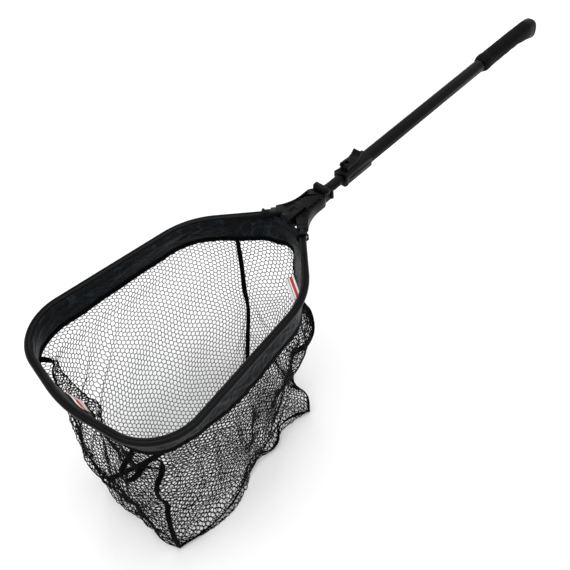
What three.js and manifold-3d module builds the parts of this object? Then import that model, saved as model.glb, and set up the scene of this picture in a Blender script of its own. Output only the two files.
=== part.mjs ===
// Folding telescopic landing net.
// Millimetres. +X runs along the handle towards the hoop, +Z is up, and the bag hangs towards -Z.
// The origin is on the handle's axis, in the middle of the rubber grip, where the hand holds it.

import * as THREE from 'three';
import { mergeVertices } from 'three/addons/utils/BufferGeometryUtils.js';
import Module from 'manifold-3d';

const wasm = await Module();
wasm.setup();

// ---------------------------------------------------------------- driving dimensions

const GAP = 0.35;                  // clearance kept between separate pieces

// handle: two octagonal tubes, one inside the other
const OUTER_FLATS = 28;            // outer tube, across flats
const OUTER_WALL = 1.5;
const INNER_FLATS = 20.5;          // inner tube, across flats
const INNER_WALL = 1.5;
const OUTER_REAR_X = -94;
const OUTER_FRONT_X = 560;
const INNER_REAR_X = 140;
const INNER_FRONT_X = 646;
const LOCK_STEP = 200;             // distance between lock holes in the inner tube
const TAIL_BUSH_LENGTH = 18;       // short enough to stay inside the outer tube at full reach

// grip
const GRIP_HALF = 17.8;            // half width of the sleeve
const GRIP_REAR_X = -84;
const GRIP_FRONT_X = 108;
const BUTT_X = -118;               // rear end of the hooked butt cap
const BUTT_HOOK = 18;              // how far the hook reaches below the sleeve

// lock housing and lift lever
const HOUSING_REAR_X = 527;
const HOUSING_FRONT_X = 609;
const HOUSING_HALF = 16;
const HOUSING_CHAMFER = 5.5;
const HOUSING_SCREW_X = [530, 548];
const BUSH_REAR_X = 572;           // the mouth bush fills the housing from here to its mouth
const BUSH_R = 13.2;
const LEVER_PIVOT_X = 592;
const LEVER_PIVOT_Z = 24.5;
const LEVER_HALF = 10;
const LEVER_LUG_HALF = 3.6;        // half width of the housing lug between the lever's cheeks
const SPRING_POCKET_Y = 7.2;       // the torsion spring sits round the pin, in the left cheek
const SPRING_POCKET_R = 3.7;
const LOCK_PIN_X = 580;
const LOCK_PIN_R = 2.8;

// fold hinge between the inner tube's tongue and the yoke
const TONGUE_RIVET_X = [624, 636];
const FOLD_X = 666;
const FOLD_Z = 14;
const FOLD_PIN_R = 3;
const TONGUE_HALF = 8;
const TONGUE_FRONT_X = 720;
const TONGUE_TOP_Z = 7.6;

// yoke and hoop: the two arms meet at the apex, 45 degrees to each side
const APEX_X = 730;
const YOKE_HALF_Z = 11;
const YOKE_REAR_X = 654;
const YOKE_NOSE_X = APEX_X + 40;
const ARM_WIDTH = 20;
const SOCKET_END = 76;             // from the apex to the mouth of each socket, along the arm
const RAIL_START = 53;             // from the apex to the rail's end inside the socket
const RAIL_WIDTH = 14;
const RAIL_HEIGHT = 12;

// corners of the hoop's centre line, from the apex, with their bend radii (left half)
const REAR_CORNER = { x: 158, y: 158, radius: 161 };
const FRONT_CORNER = { x: 544, y: 203, radius: 100 };
const FRONT_BOW = { x: 581, y: 0, radius: 282 };
const BAND_REAR_RADIUS = 85;       // the fabric rounds the corner under the yoke

// fabric band and bag
const CLOTH = 2;                   // thickness of the simple cloth solids
const BAND_INSET = 8;              // from the rail's centre line to the cloth
const BAND_TOP_Z = -6.4;
const BAND_BOTTOM_Z = -52;
const HEM_HEIGHT = 9;
const BAG_TOP_Z = BAND_BOTTOM_Z - HEM_HEIGHT - 2 * GAP;
const BAG_FLOOR_Z = -328;
const SEAM_WIDTH = 8;
const PANEL_MARGIN = 0.0016;       // share of a panel's width left free at each seam

// corners of the bag's floor, from the apex; the bag leans towards its left side
const FLOOR = {
  rearLeft: [190, 166],
  frontLeft: [560, 176],
  frontRight: [562, -34],
  rearRight: [176, -22],
};

// fold latch on the yoke
const LATCH_REAR_X = APEX_X - 6;
const LATCH_FRONT_X = APEX_X + 46;
const LATCH_HALF = 12;
const LATCH_TOP_Z = 16.5;

// ---------------------------------------------------------------- materials

function material(color, roughness, metalness) {
  return new THREE.MeshStandardMaterial({ color, roughness, metalness });
}

const anodised = material(0x17181a, 0.38, 0.7);
const plastic = material(0x111213, 0.55, 0);
const rubber = material(0x0d0e10, 0.8, 0);
const steel = material(0x8f9296, 0.35, 1);
const cloth = material(0x0c1218, 0.6, 0);
const netting = material(0x0b0c0e, 0.5, 0);
const webbing = material(0x090a0b, 0.85, 0);
const label = material(0xe4e4e0, 0.8, 0);

const model = new THREE.Group();

function add(name, geometry, surface) {
  const mesh = new THREE.Mesh(geometry, surface);
  mesh.name = name;
  model.add(mesh);
}

// ---------------------------------------------------------------- joining and cutting

function toSolid(geometry) {
  const bare = geometry.clone();
  bare.deleteAttribute('normal');
  bare.deleteAttribute('uv');
  const merged = mergeVertices(bare, 1e-4);
  return new wasm.Manifold(new wasm.Mesh({
    numProp: 3,
    vertProperties: new Float32Array(merged.attributes.position.array),
    triVerts: new Uint32Array(merged.index.array),
  }));
}

function toGeometry(solid) {
  const mesh = solid.getMesh();
  const geometry = new THREE.BufferGeometry();
  geometry.setAttribute('position', new THREE.BufferAttribute(new Float32Array(mesh.vertProperties), 3));
  geometry.setIndex(new THREE.BufferAttribute(new Uint32Array(mesh.triVerts), 1));
  return geometry;
}

function join(geometries) {
  const solids = geometries.map(toSolid);
  return toGeometry(solids.reduce((sum, next) => sum.add(next)));
}

function cut(geometry, tools) {
  return toGeometry(tools.map(toSolid).reduce((rest, tool) => rest.subtract(tool), toSolid(geometry)));
}

// ---------------------------------------------------------------- basic shapes

// A closed outline in the YZ plane, run along X.
function prismX(shape, x0, x1) {
  const geometry = new THREE.ExtrudeGeometry(shape, { depth: x1 - x0, bevelEnabled: false, curveSegments: 5 });
  const axes = new THREE.Matrix4().makeBasis(
    new THREE.Vector3(0, 1, 0), new THREE.Vector3(0, 0, 1), new THREE.Vector3(1, 0, 0));
  return geometry.applyMatrix4(axes).translate(x0, 0, 0);
}

// A closed outline in the XZ plane, run along Y.
function prismY(shape, y0, y1) {
  const geometry = new THREE.ExtrudeGeometry(shape, { depth: y1 - y0, bevelEnabled: false, curveSegments: 8 });
  return geometry.rotateX(Math.PI / 2).translate(0, y1, 0);
}

// A closed outline in the XY plane, run along Z.
function prismZ(shape, z0, z1) {
  const geometry = new THREE.ExtrudeGeometry(shape, { depth: z1 - z0, bevelEnabled: false, curveSegments: 8 });
  return geometry.translate(0, 0, z0);
}

function box(x0, x1, y0, y1, z0, z1) {
  const geometry = new THREE.BoxGeometry(Math.abs(x1 - x0), Math.abs(y1 - y0), Math.abs(z1 - z0));
  return geometry.translate((x0 + x1) / 2, (y0 + y1) / 2, (z0 + z1) / 2);
}

// A cylinder about an axis parallel to X, Y or Z through the point (x, y, z).
function rod(axis, radius, length, x, y, z, sides = 20) {
  const geometry = new THREE.CylinderGeometry(radius, radius, length, sides);
  if (axis === 'x') geometry.rotateZ(-Math.PI / 2);
  if (axis === 'z') geometry.rotateX(Math.PI / 2);
  return geometry.translate(x, y, z);
}

function shapeOf(points) {
  return new THREE.Shape(points.map(([u, v]) => new THREE.Vector2(u, v)));
}

// An octagon with flats of the given size and rounded corners.
function octagon(flats, cornerRadius) {
  const half = flats / 2;
  const reach = half / Math.cos(Math.PI / 8);
  const corners = Array.from({ length: 8 }, (_, i) => {
    const angle = (i + 0.5) * Math.PI / 4;
    return { x: reach * Math.cos(angle), y: reach * Math.sin(angle), radius: cornerRadius };
  });
  return shapeOf(roundedPolygon(corners, true, 2));
}

// A rectangle in its own plane with its corners cut off at 45 degrees.
function chamferedBox(half, chamfer) {
  const inner = half - chamfer;
  return shapeOf([
    [half, -inner], [half, inner], [inner, half], [-inner, half],
    [-half, inner], [-half, -inner], [-inner, -half], [inner, -half],
  ]);
}

// Replaces every corner that has a radius by an arc; the ends of an open line stay as they are.
function roundedPolygon(corners, closed, arcSteps) {
  const points = [];
  corners.forEach((corner, i) => {
    const isEnd = !closed && (i === 0 || i === corners.length - 1);
    if (isEnd || !corner.radius) {
      points.push([corner.x, corner.y]);
      return;
    }
    const before = corners[(i + corners.length - 1) % corners.length];
    const after = corners[(i + 1) % corners.length];
    const here = new THREE.Vector2(corner.x, corner.y);
    const toBefore = new THREE.Vector2(before.x, before.y).sub(here).normalize();
    const toAfter = new THREE.Vector2(after.x, after.y).sub(here).normalize();
    const halfAngle = Math.acos(THREE.MathUtils.clamp(toBefore.dot(toAfter), -1, 1)) / 2;
    const bisector = toBefore.clone().add(toAfter).normalize();
    const centre = here.clone().addScaledVector(bisector, corner.radius / Math.sin(halfAngle));
    const tangent = corner.radius / Math.tan(halfAngle);
    const first = here.clone().addScaledVector(toBefore, tangent).sub(centre);
    const last = here.clone().addScaledVector(toAfter, tangent).sub(centre);
    const start = Math.atan2(first.y, first.x);
    let sweep = Math.atan2(last.y, last.x) - start;
    if (sweep > Math.PI) sweep -= 2 * Math.PI;
    if (sweep < -Math.PI) sweep += 2 * Math.PI;
    for (let k = 0; k <= arcSteps; k += 1) {
      const angle = start + sweep * k / arcSteps;
      points.push([centre.x + corner.radius * Math.cos(angle), centre.y + corner.radius * Math.sin(angle)]);
    }
  });
  return points;
}

// A closed skin through rings of equally many points, with a flat cap at each end.
function loft(rings) {
  const size = rings[0].length;
  const positions = rings.flat(2);
  const index = [];
  for (let r = 0; r < rings.length - 1; r += 1) {
    for (let k = 0; k < size; k += 1) {
      const a = r * size + k;
      const b = r * size + (k + 1) % size;
      index.push(a, b, b + size, a, b + size, a + size);
    }
  }
  const last = (rings.length - 1) * size;
  for (let k = 1; k < size - 1; k += 1) {
    index.push(0, k + 1, k);
    index.push(last, last + k, last + k + 1);
  }
  const geometry = new THREE.BufferGeometry();
  geometry.setAttribute('position', new THREE.BufferAttribute(new Float32Array(positions), 3));
  geometry.setIndex(index);
  return geometry;
}

// A sheet of even thickness from a grid of points, rows of columns; it grows along each point's normal.
function sheet(grid, thickness) {
  const rows = grid.length;
  const columns = grid[0].length;
  const at = (r, c) => grid[THREE.MathUtils.clamp(r, 0, rows - 1)][THREE.MathUtils.clamp(c, 0, columns - 1)];
  const positions = [];
  for (let side = 0; side < 2; side += 1) {
    for (let r = 0; r < rows; r += 1) {
      for (let c = 0; c < columns; c += 1) {
        const along = at(r, c + 1).clone().sub(at(r, c - 1));
        const down = at(r + 1, c).clone().sub(at(r - 1, c));
        const normal = along.cross(down).normalize();
        const point = at(r, c).clone().addScaledVector(normal, side * thickness);
        positions.push(point.x, point.y, point.z);
      }
    }
  }
  const index = [];
  const vertex = (side, r, c) => side * rows * columns + r * columns + c;
  const quad = (a, b, c, d) => index.push(a, b, c, a, c, d);
  for (let r = 0; r < rows - 1; r += 1) {
    for (let c = 0; c < columns - 1; c += 1) {
      quad(vertex(0, r, c), vertex(0, r + 1, c), vertex(0, r + 1, c + 1), vertex(0, r, c + 1));
      quad(vertex(1, r, c), vertex(1, r, c + 1), vertex(1, r + 1, c + 1), vertex(1, r + 1, c));
    }
  }
  for (let c = 0; c < columns - 1; c += 1) {
    const bottom = rows - 1;
    quad(vertex(0, 0, c), vertex(0, 0, c + 1), vertex(1, 0, c + 1), vertex(1, 0, c));
    quad(vertex(0, bottom, c + 1), vertex(0, bottom, c), vertex(1, bottom, c), vertex(1, bottom, c + 1));
  }
  for (let r = 0; r < rows - 1; r += 1) {
    const end = columns - 1;
    quad(vertex(0, r + 1, 0), vertex(0, r, 0), vertex(1, r, 0), vertex(1, r + 1, 0));
    quad(vertex(0, r, end), vertex(0, r + 1, end), vertex(1, r + 1, end), vertex(1, r, end));
  }
  const geometry = new THREE.BufferGeometry();
  geometry.setAttribute('position', new THREE.BufferAttribute(new Float32Array(positions), 3));
  geometry.setIndex(index);
  return geometry;
}

// ---------------------------------------------------------------- handle

function tube(flats, wall, cornerRadius, x0, x1) {
  const shape = octagon(flats, cornerRadius);
  const bore = octagon(flats - 2 * wall, cornerRadius - wall);
  shape.holes.push(new THREE.Path(bore.getPoints().reverse()));
  return prismX(shape, x0, x1);
}

function outerTube() {
  const blank = tube(OUTER_FLATS, OUTER_WALL, 3, OUTER_REAR_X, OUTER_FRONT_X);
  return cut(blank, HOUSING_SCREW_X.map((x) => rod('z', 1.3 + GAP, 8, x, 0, -OUTER_FLATS / 2, 10)));
}

// One ring of the grip: a soft square of the given half sizes about (y = 0, z = middle).
function gripRing(x, halfY, top, bottom) {
  const middle = (top + bottom) / 2;
  const halfZ = (top - bottom) / 2;
  const sides = 20;
  const softness = 2 / 2.6;
  return Array.from({ length: sides }, (_, k) => {
    const angle = 2 * Math.PI * k / sides;
    const c = Math.cos(angle);
    const s = Math.sin(angle);
    const y = halfY * Math.sign(c) * Math.abs(c) ** softness;
    const z = middle + halfZ * Math.sign(s) * Math.abs(s) ** softness;
    return [x, y, z];
  });
}

function gripSleeve() {
  const length = GRIP_FRONT_X - GRIP_REAR_X;
  const fingers = 4;
  const steps = 22;
  const rings = [];
  for (let k = 0; k <= steps; k += 1) {
    const t = k / steps;
    const x = GRIP_REAR_X + length * t;
    const front = THREE.MathUtils.smoothstep(t, 0.9, 1);
    const collar = 0.9 * THREE.MathUtils.smoothstep(t, 0.84, 0.9) - 3.2 * front ** 3;
    const hook = BUTT_HOOK * 0.45 * (1 - THREE.MathUtils.smoothstep(t, 0, 0.3));
    const finger = 1.1 * Math.sin(Math.PI * fingers * THREE.MathUtils.clamp((t - 0.16) / 0.66, 0, 1)) ** 2;
    const half = GRIP_HALF + collar;
    rings.push(gripRing(x, half, half, -half - hook + finger));
  }
  const bore = prismX(octagon(OUTER_FLATS + 2 * GAP, 3), GRIP_REAR_X - 5, GRIP_FRONT_X + 5);
  return cut(loft(rings), [bore]);
}

function buttCap() {
  const rear = GRIP_REAR_X - GAP;
  const steps = 8;
  const rings = [];
  for (let k = 0; k <= steps; k += 1) {
    const t = 1 - k / steps;
    const x = rear + (BUTT_X - rear) * t;
    const hook = BUTT_HOOK * (0.45 + 0.55 * THREE.MathUtils.smoothstep(t, -0.4, 1));
    const round = 3.5 * THREE.MathUtils.smoothstep(t, 0.7, 1) ** 2;
    rings.push(gripRing(x, GRIP_HALF - round, GRIP_HALF - round - 5 * t * t, -GRIP_HALF - hook + round));
  }
  const bore = prismX(octagon(OUTER_FLATS + 2 * GAP, 3), OUTER_REAR_X - GAP, rear + 5);
  const screwHole = rod('x', 2.4, 60, BUTT_X, 0, 0);
  const counterbore = rod('x', 4.6, 8, BUTT_X, 0, 0);
  return cut(loft(rings), [bore, screwHole, counterbore]);
}

function tubePlug() {
  const body = prismX(octagon(OUTER_FLATS - 2 * OUTER_WALL - 2 * GAP, 1.5), OUTER_REAR_X, OUTER_REAR_X + 24);
  return cut(body, [rod('x', 2.4, 30, OUTER_REAR_X + 1, 0, 0)]);
}

function buttScrew() {
  const head = rod('x', 4.2, 2.6, BUTT_X + 2.4, 0, 0);
  const shank = rod('x', 2, 34, BUTT_X + 19, 0, 0, 12);
  const slot = box(BUTT_X, BUTT_X + 2, -0.6, 0.6, -3, 3);
  return cut(join([head, shank]), [slot]);
}

// ---------------------------------------------------------------- lock

function lockHousing() {
  const body = prismX(chamferedBox(HOUSING_HALF, HOUSING_CHAMFER), HOUSING_REAR_X, HOUSING_FRONT_X);
  const lip = [[8, 1], [5, 1.06], [1.5, 1.06], [0, 1]];
  const nose = loft(lip.map(([back, grow]) => {
    const x = HOUSING_FRONT_X - back;
    const half = HOUSING_HALF * grow;
    const inner = (HOUSING_HALF - HOUSING_CHAMFER) * grow;
    return [[x, half, -inner], [x, half, inner], [x, inner, half], [x, -inner, half],
      [x, -half, inner], [x, -half, -inner], [x, -inner, -half], [x, inner, -half]];
  }));
  const lugShape = shapeOf([
    [LEVER_PIVOT_X - 5, HOUSING_HALF - 2], [LEVER_PIVOT_X + 5.5, HOUSING_HALF - 2],
    [LEVER_PIVOT_X + 5.5, LEVER_PIVOT_Z - 2], [LEVER_PIVOT_X + 3, LEVER_PIVOT_Z + 2.6],
    [LEVER_PIVOT_X - 3, LEVER_PIVOT_Z + 2.6], [LEVER_PIVOT_X - 5, LEVER_PIVOT_Z - 2],
  ]);
  const lug = prismY(lugShape, -LEVER_LUG_HALF, LEVER_LUG_HALF);
  const ribs = [-1, 1].map((side) => box(
    HOUSING_REAR_X + 6, HOUSING_FRONT_X - 14, side * (HOUSING_HALF - 1), side * (HOUSING_HALF + 0.8), -1.2, 1.2));
  const outerSeat = prismX(octagon(OUTER_FLATS + 2 * GAP, 3), HOUSING_REAR_X - 5, OUTER_FRONT_X + GAP);
  const bushSeat = rod('x', BUSH_R, 60, BUSH_REAR_X - GAP + 30, 0, 0, 28);
  const passage = prismX(octagon(INNER_FLATS + 1.4, 4.5), OUTER_FRONT_X - 5, BUSH_REAR_X + 5);
  const lockHole = rod('z', LOCK_PIN_R + 0.4, 14, LOCK_PIN_X, 0, 14);
  const pivotHole = rod('y', 2.35, 20, LEVER_PIVOT_X, 0, LEVER_PIVOT_Z);
  const screwHoles = HOUSING_SCREW_X.flatMap((x) => [
    rod('z', 1.3 + GAP, 20, x, 0, -HOUSING_HALF, 10), rod('z', 2.8 + GAP, 2.8, x, 0, -HOUSING_HALF, 14)]);
  const whole = join([body, nose, lug, ...ribs]);
  return cut(whole, [outerSeat, bushSeat, passage, lockHole, pivotHole, ...screwHoles]);
}

// The bush that guides the inner tube in the housing's mouth, held between the tube and the lip.
function mouthBush() {
  const length = HOUSING_FRONT_X - 1 - BUSH_REAR_X;
  const ring = rod('x', BUSH_R - GAP, length, BUSH_REAR_X + length / 2, 0, 0, 28);
  const bore = prismX(octagon(INNER_FLATS + 0.8, 4.5), BUSH_REAR_X - 5, HOUSING_FRONT_X + 5);
  const lockHole = rod('z', LOCK_PIN_R + 0.4, 10, LOCK_PIN_X, 0, 12);
  return cut(ring, [bore, lockHole]);
}

// A screw from below that holds the housing on the outer tube; its tip stops in the tube's wall.
function housingScrew(x) {
  const head = rod('z', 2.8, 0.9, x, 0, -HOUSING_HALF + 0.6, 14);
  const shank = rod('z', 1.3, 3.4, x, 0, -HOUSING_HALF + 2, 10);
  return join([head, shank]);
}

// The lever lifts at its rear tab and turns about the pin near its front.
function lockLever() {
  const p = LEVER_PIVOT_X;
  const seat = HOUSING_HALF + GAP;
  const ridges = [];
  for (let k = 0; k < 4; k += 1) {
    const x = p - 30 - 2 * k;
    const z = seat + 14 + 1.875 * k;
    ridges.push([x, z], [x - 1.2, z + 1.1], [x - 1, z + 0.4]);
  }
  const side = shapeOf([
    [p + 1, seat], [p + 5.5, seat + 3.5], [p + 7, seat + 9], [p + 4.5, seat + 12.6], [p - 6, seat + 12],
    [p - 22, seat + 10.5], ...ridges, [p - 38, seat + 21.5], [p - 40.5, seat + 20.5],
    [p - 42, seat + 12.5], [p - 33, seat + 4.5], [p - 29, seat],
  ]);
  const body = prismY(side, -LEVER_HALF, LEVER_HALF);
  const fork = box(p - 9.5, p + 12, -LEVER_LUG_HALF - GAP, LEVER_LUG_HALF + GAP, seat - 5, seat + 20);
  const pivotHole = rod('y', 2.35, 40, p, 0, LEVER_PIVOT_Z);
  const pinPocket = rod('z', LOCK_PIN_R + 2.7, 7.5, LOCK_PIN_X, 0, seat + 3);
  const springPocket = rod('y', SPRING_POCKET_R, SPRING_POCKET_Y, p, SPRING_POCKET_Y / 2, LEVER_PIVOT_Z);
  return cut(body, [fork, pivotHole, springPocket, pinPocket]);
}

function lockPin() {
  const shank = rod('z', LOCK_PIN_R, 8.4, LOCK_PIN_X, 0, 15.2, 16);
  const head = rod('z', LOCK_PIN_R + 0.7, 1.6, LOCK_PIN_X, 0, HOUSING_HALF + GAP + 2.4, 16);
  return join([shank, head]);
}

// A helical wire; the axis is Y and the coil is centred on (x, y, z).
class Helix extends THREE.Curve {
  constructor(radius, pitch, turns, place) {
    super();
    Object.assign(this, { radius, pitch, turns, place });
  }

  getPoint(t) {
    const angle = 2 * Math.PI * this.turns * t;
    return this.place(
      this.radius * Math.cos(angle), this.radius * Math.sin(angle), this.pitch * this.turns * (t - 0.5));
  }
}

function coil(radius, wire, pitch, turns, place) {
  const section = new THREE.Shape().absarc(0, 0, wire, 0, 2 * Math.PI);
  return new THREE.ExtrudeGeometry(section, {
    steps: Math.round(turns * 10), bevelEnabled: false, curveSegments: 2,
    extrudePath: new Helix(radius, pitch, turns, place),
  });
}

function leverSpring() {
  const middle = (LEVER_LUG_HALF + SPRING_POCKET_Y) / 2;
  const place = (u, v, w) => new THREE.Vector3(LEVER_PIVOT_X + u, middle + w, LEVER_PIVOT_Z + v);
  return coil(SPRING_POCKET_R - 0.8, 0.3, 0.75, 3, place);
}

// ---------------------------------------------------------------- inner tube and fold tongue

function innerTube() {
  const blank = tube(INNER_FLATS, INNER_WALL, 4.5, INNER_REAR_X, INNER_FRONT_X);
  const holes = [0, 1, 2].map((k) => rod('z', LOCK_PIN_R + 0.5, 6, LOCK_PIN_X - k * LOCK_STEP, 0, INNER_FLATS / 2, 16));
  const rivetHoles = TONGUE_RIVET_X.map((x) => rod('y', 2 + GAP, 40, x, 0, 0, 12));
  return cut(blank, [...holes, ...rivetHoles]);
}

function tailBush() {
  const outside = octagon(OUTER_FLATS - 2 * OUTER_WALL - 0.8, 1.5);
  const bore = octagon(INNER_FLATS + 2 * GAP, 4.5);
  outside.holes.push(new THREE.Path(bore.getPoints().reverse()));
  return prismX(outside, INNER_REAR_X + 1, INNER_REAR_X + 1 + TAIL_BUSH_LENGTH);
}

function hingeTongue() {
  const spigot = prismX(octagon(INNER_FLATS - 2 * INNER_WALL - 2 * GAP, 3), INNER_FRONT_X - 32, INNER_FRONT_X + 3);
  const flange = prismX(octagon(INNER_FLATS + 1.5, 4), INNER_FRONT_X + GAP, INNER_FRONT_X + 6);
  const blade = box(INNER_FRONT_X + 4, TONGUE_FRONT_X, -TONGUE_HALF, TONGUE_HALF, -8, TONGUE_TOP_Z);
  const lug = rod('y', 8, 2 * TONGUE_HALF, FOLD_X, 0, FOLD_Z);
  const lugFoot = box(FOLD_X - 8, FOLD_X + 8, -TONGUE_HALF, TONGUE_HALF, 0, FOLD_Z);
  const pinHole = rod('y', FOLD_PIN_R + GAP, 40, FOLD_X, 0, FOLD_Z);
  const relief = [-1, 1].map((side) => box(
    FOLD_X + 14, TONGUE_FRONT_X - 6, side * 5, side * 12, -4.5, 4.5));
  const rivetHoles = TONGUE_RIVET_X.map((x) => rod('y', 2 + GAP, 40, x, 0, 0, 12));
  return cut(join([spigot, flange, blade, lug, lugFoot]), [pinHole, ...relief, ...rivetHoles]);
}

function tongueRivet(x) {
  const reach = INNER_FLATS / 2 + 0.6;
  const shank = rod('y', 2, 2 * reach, x, 0, 0, 12);
  const heads = [-1, 1].map((side) => rod('y', 3, 0.8, x, side * (reach + 0.2), 0, 14));
  return join([shank, ...heads]);
}

const EAR_OUTER_Y = 16;

function hingePin() {
  const shank = rod('y', FOLD_PIN_R, 2 * (EAR_OUTER_Y + 4), FOLD_X, 0, FOLD_Z, 16);
  const head = rod('y', 5, 2.4, FOLD_X, EAR_OUTER_Y + GAP + 1.2, FOLD_Z, 20);
  return join([shank, head]);
}

function hingeClip() {
  const ring = rod('y', 5.4, 1.2, FOLD_X, -EAR_OUTER_Y - GAP - 0.6, FOLD_Z, 16);
  const bore = rod('y', FOLD_PIN_R + GAP, 6, FOLD_X, -EAR_OUTER_Y, FOLD_Z, 16);
  const mouth = box(FOLD_X - 2, FOLD_X + 2, -EAR_OUTER_Y - 3, -EAR_OUTER_Y + 1, FOLD_Z - 8, FOLD_Z);
  return cut(ring, [bore, mouth]);
}

// ---------------------------------------------------------------- yoke

// Puts a shape drawn along +X from the apex onto the left (+1) or right (-1) arm.
function onArm(geometry, side) {
  return geometry.rotateZ(side * Math.PI / 4).translate(APEX_X, 0, 0);
}

// The yoke seen from above: narrow at the hinge, shoulders, then concave sides that run into the arms.
function yokeOutline() {
  const x = APEX_X;
  const shape = new THREE.Shape();
  shape.moveTo(YOKE_REAR_X, -EAR_OUTER_Y);
  shape.lineTo(x - 57, -EAR_OUTER_Y);
  shape.quadraticCurveTo(x - 52, -21.5, x - 46, -22.5);
  shape.lineTo(x - 36, -22.5);
  shape.quadraticCurveTo(x - 2, -20, x + 25, -42);
  shape.lineTo(x + 40, -28);
  shape.lineTo(x + 27, -13);
  shape.lineTo(YOKE_NOSE_X, -11);
  shape.lineTo(YOKE_NOSE_X, 11);
  shape.lineTo(x + 27, 13);
  shape.lineTo(x + 40, 28);
  shape.lineTo(x + 25, 42);
  shape.quadraticCurveTo(x - 2, 20, x - 36, 22.5);
  shape.lineTo(x - 46, 22.5);
  shape.quadraticCurveTo(x - 52, 21.5, x - 57, EAR_OUTER_Y);
  shape.lineTo(YOKE_REAR_X, EAR_OUTER_Y);
  return shape;
}

function yokeFrame() {
  const body = prismZ(yokeOutline(), -YOKE_HALF_Z, YOKE_HALF_Z);
  const flange = box(YOKE_REAR_X, YOKE_REAR_X + 5, -21, 21, -8, 9);
  const ears = [-1, 1].flatMap((side) => {
    const middle = side * (EAR_OUTER_Y + TONGUE_HALF + GAP) / 2;
    const width = EAR_OUTER_Y - TONGUE_HALF - GAP;
    return [
      rod('y', 8, width, FOLD_X, middle, FOLD_Z, 24),
      box(FOLD_X - 8, FOLD_X + 8, middle - width / 2, middle + width / 2, 0, FOLD_Z),
    ];
  });
  const arms = [-1, 1].flatMap((side) => [
    onArm(prismX(chamferedBox(ARM_WIDTH / 2, 2.5), 26, SOCKET_END - 18), side),
    onArm(prismX(octagon(ARM_WIDTH - 1, 2), SOCKET_END - 18.5, SOCKET_END), side),
  ]);
  const webs = [-1, 1].flatMap((side) => [-34, -20, -6].map((x) => box(
    APEX_X + x, APEX_X + x + 2.4, side * 12.5, side * (21 + (x + 34) * 0.09), 8, YOKE_HALF_Z)));
  const pans = [-1, 1].map((side) => prismZ(shapeOf(roundedPolygon([
    { x: APEX_X - 42, y: side * 13.5, radius: 2 }, { x: APEX_X + 14, y: side * 13.5, radius: 3 },
    { x: APEX_X + 22, y: side * 33, radius: 4 }, { x: APEX_X - 2, y: side * 22, radius: 8 },
    { x: APEX_X - 42, y: side * 19.5, radius: 2 },
  ], true, 3)), 8, 20));
  const channel = box(YOKE_REAR_X - 5, TONGUE_FRONT_X + 5, -TONGUE_HALF - GAP, TONGUE_HALF + GAP, -20, 8);
  const hingeGap = box(YOKE_REAR_X - 5, FOLD_X + 10, -TONGUE_HALF - GAP, TONGUE_HALF + GAP, -20, 40);
  const pinHole = rod('y', FOLD_PIN_R + 0.45, 60, FOLD_X, 0, FOLD_Z);
  const sockets = [-1, 1].map((side) => onArm(box(
    RAIL_START - 1, SOCKET_END + 5, -RAIL_WIDTH / 2 - GAP, RAIL_WIDTH / 2 + GAP,
    -RAIL_HEIGHT / 2 - GAP, RAIL_HEIGHT / 2 + GAP), side));
  const latchSlot = box(APEX_X + 4, APEX_X + 32, -4, 4, 5, 20);
  const springPost = box(APEX_X + 33, APEX_X + 36, -3, 3, YOKE_HALF_Z - 1, YOKE_HALF_Z + 3);
  const rivetHoles = [-1, 1].map((side) => onArm(rod('z', 1.9, 40, SOCKET_END - 11, 0, 0, 12), side));
  const solidBody = cut(join([body, flange, ...ears, ...arms]), pans);
  const whole = join([solidBody, ...webs, springPost]);
  return cut(whole, [channel, hingeGap, pinHole, ...sockets, latchSlot, ...rivetHoles]);
}

function socketCollar(side) {
  const ring = prismX(octagon(ARM_WIDTH + 4, 3), SOCKET_END - 6, SOCKET_END - 1);
  const bore = prismX(octagon(ARM_WIDTH - 1 + 2 * GAP, 2), SOCKET_END - 10, SOCKET_END + 5);
  return onArm(cut(ring, [bore]), side);
}

function socketRivet(side) {
  const shank = rod('z', 1.55, ARM_WIDTH + 1, SOCKET_END - 11, 0, 0, 12);
  const heads = [-1, 1].map((end) => rod(
    'z', 3, 1, SOCKET_END - 11, 0, end * (ARM_WIDTH / 2 - 0.5 + GAP + 0.5), 14));
  return onArm(join([shank, ...heads]), side);
}

// ---------------------------------------------------------------- fold latch

function foldLatch() {
  const seat = YOKE_HALF_Z + GAP;
  const outline = roundedPolygon([
    { x: LATCH_REAR_X, y: -LATCH_HALF, radius: 1 }, { x: LATCH_FRONT_X, y: -LATCH_HALF + 0.6, radius: 2.5 },
    { x: LATCH_FRONT_X, y: LATCH_HALF - 0.6, radius: 2.5 }, { x: LATCH_REAR_X, y: LATCH_HALF, radius: 1 },
  ], true, 3);
  const block = prismZ(shapeOf(outline), seat, LATCH_TOP_Z);
  const key = box(APEX_X + 5, APEX_X + 16.3, -3.4, 3.4, 8.4, seat + 1);
  const recess = prismZ(shapeOf(roundedPolygon([
    { x: APEX_X + 11, y: -6.5, radius: 1 }, { x: APEX_X + 25, y: -6.5, radius: 1 },
    { x: APEX_X + 25, y: 6.5, radius: 1 }, { x: APEX_X + 11, y: 6.5, radius: 1 },
  ], true, 2)), LATCH_TOP_Z - 1.8, LATCH_TOP_Z + 5);
  const springPocket = box(APEX_X + 17, APEX_X + 38, -3.6, 3.6, seat - 1, seat + 2.8);
  const bevel = box(0, 20, -20, 20, 0, 20).rotateY(Math.PI / 5).translate(LATCH_FRONT_X - 6, 0, LATCH_TOP_Z);
  return cut(join([block, key]), [recess, springPocket, bevel]);
}

function latchSpring() {
  const place = (u, v, w) => new THREE.Vector3(APEX_X + 28.6 + w, u, YOKE_HALF_Z + GAP + 1.2 + v * 0.8);
  return coil(1.1, 0.3, 1.5, 4, place);
}

// ---------------------------------------------------------------- hoop and fabric band

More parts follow.
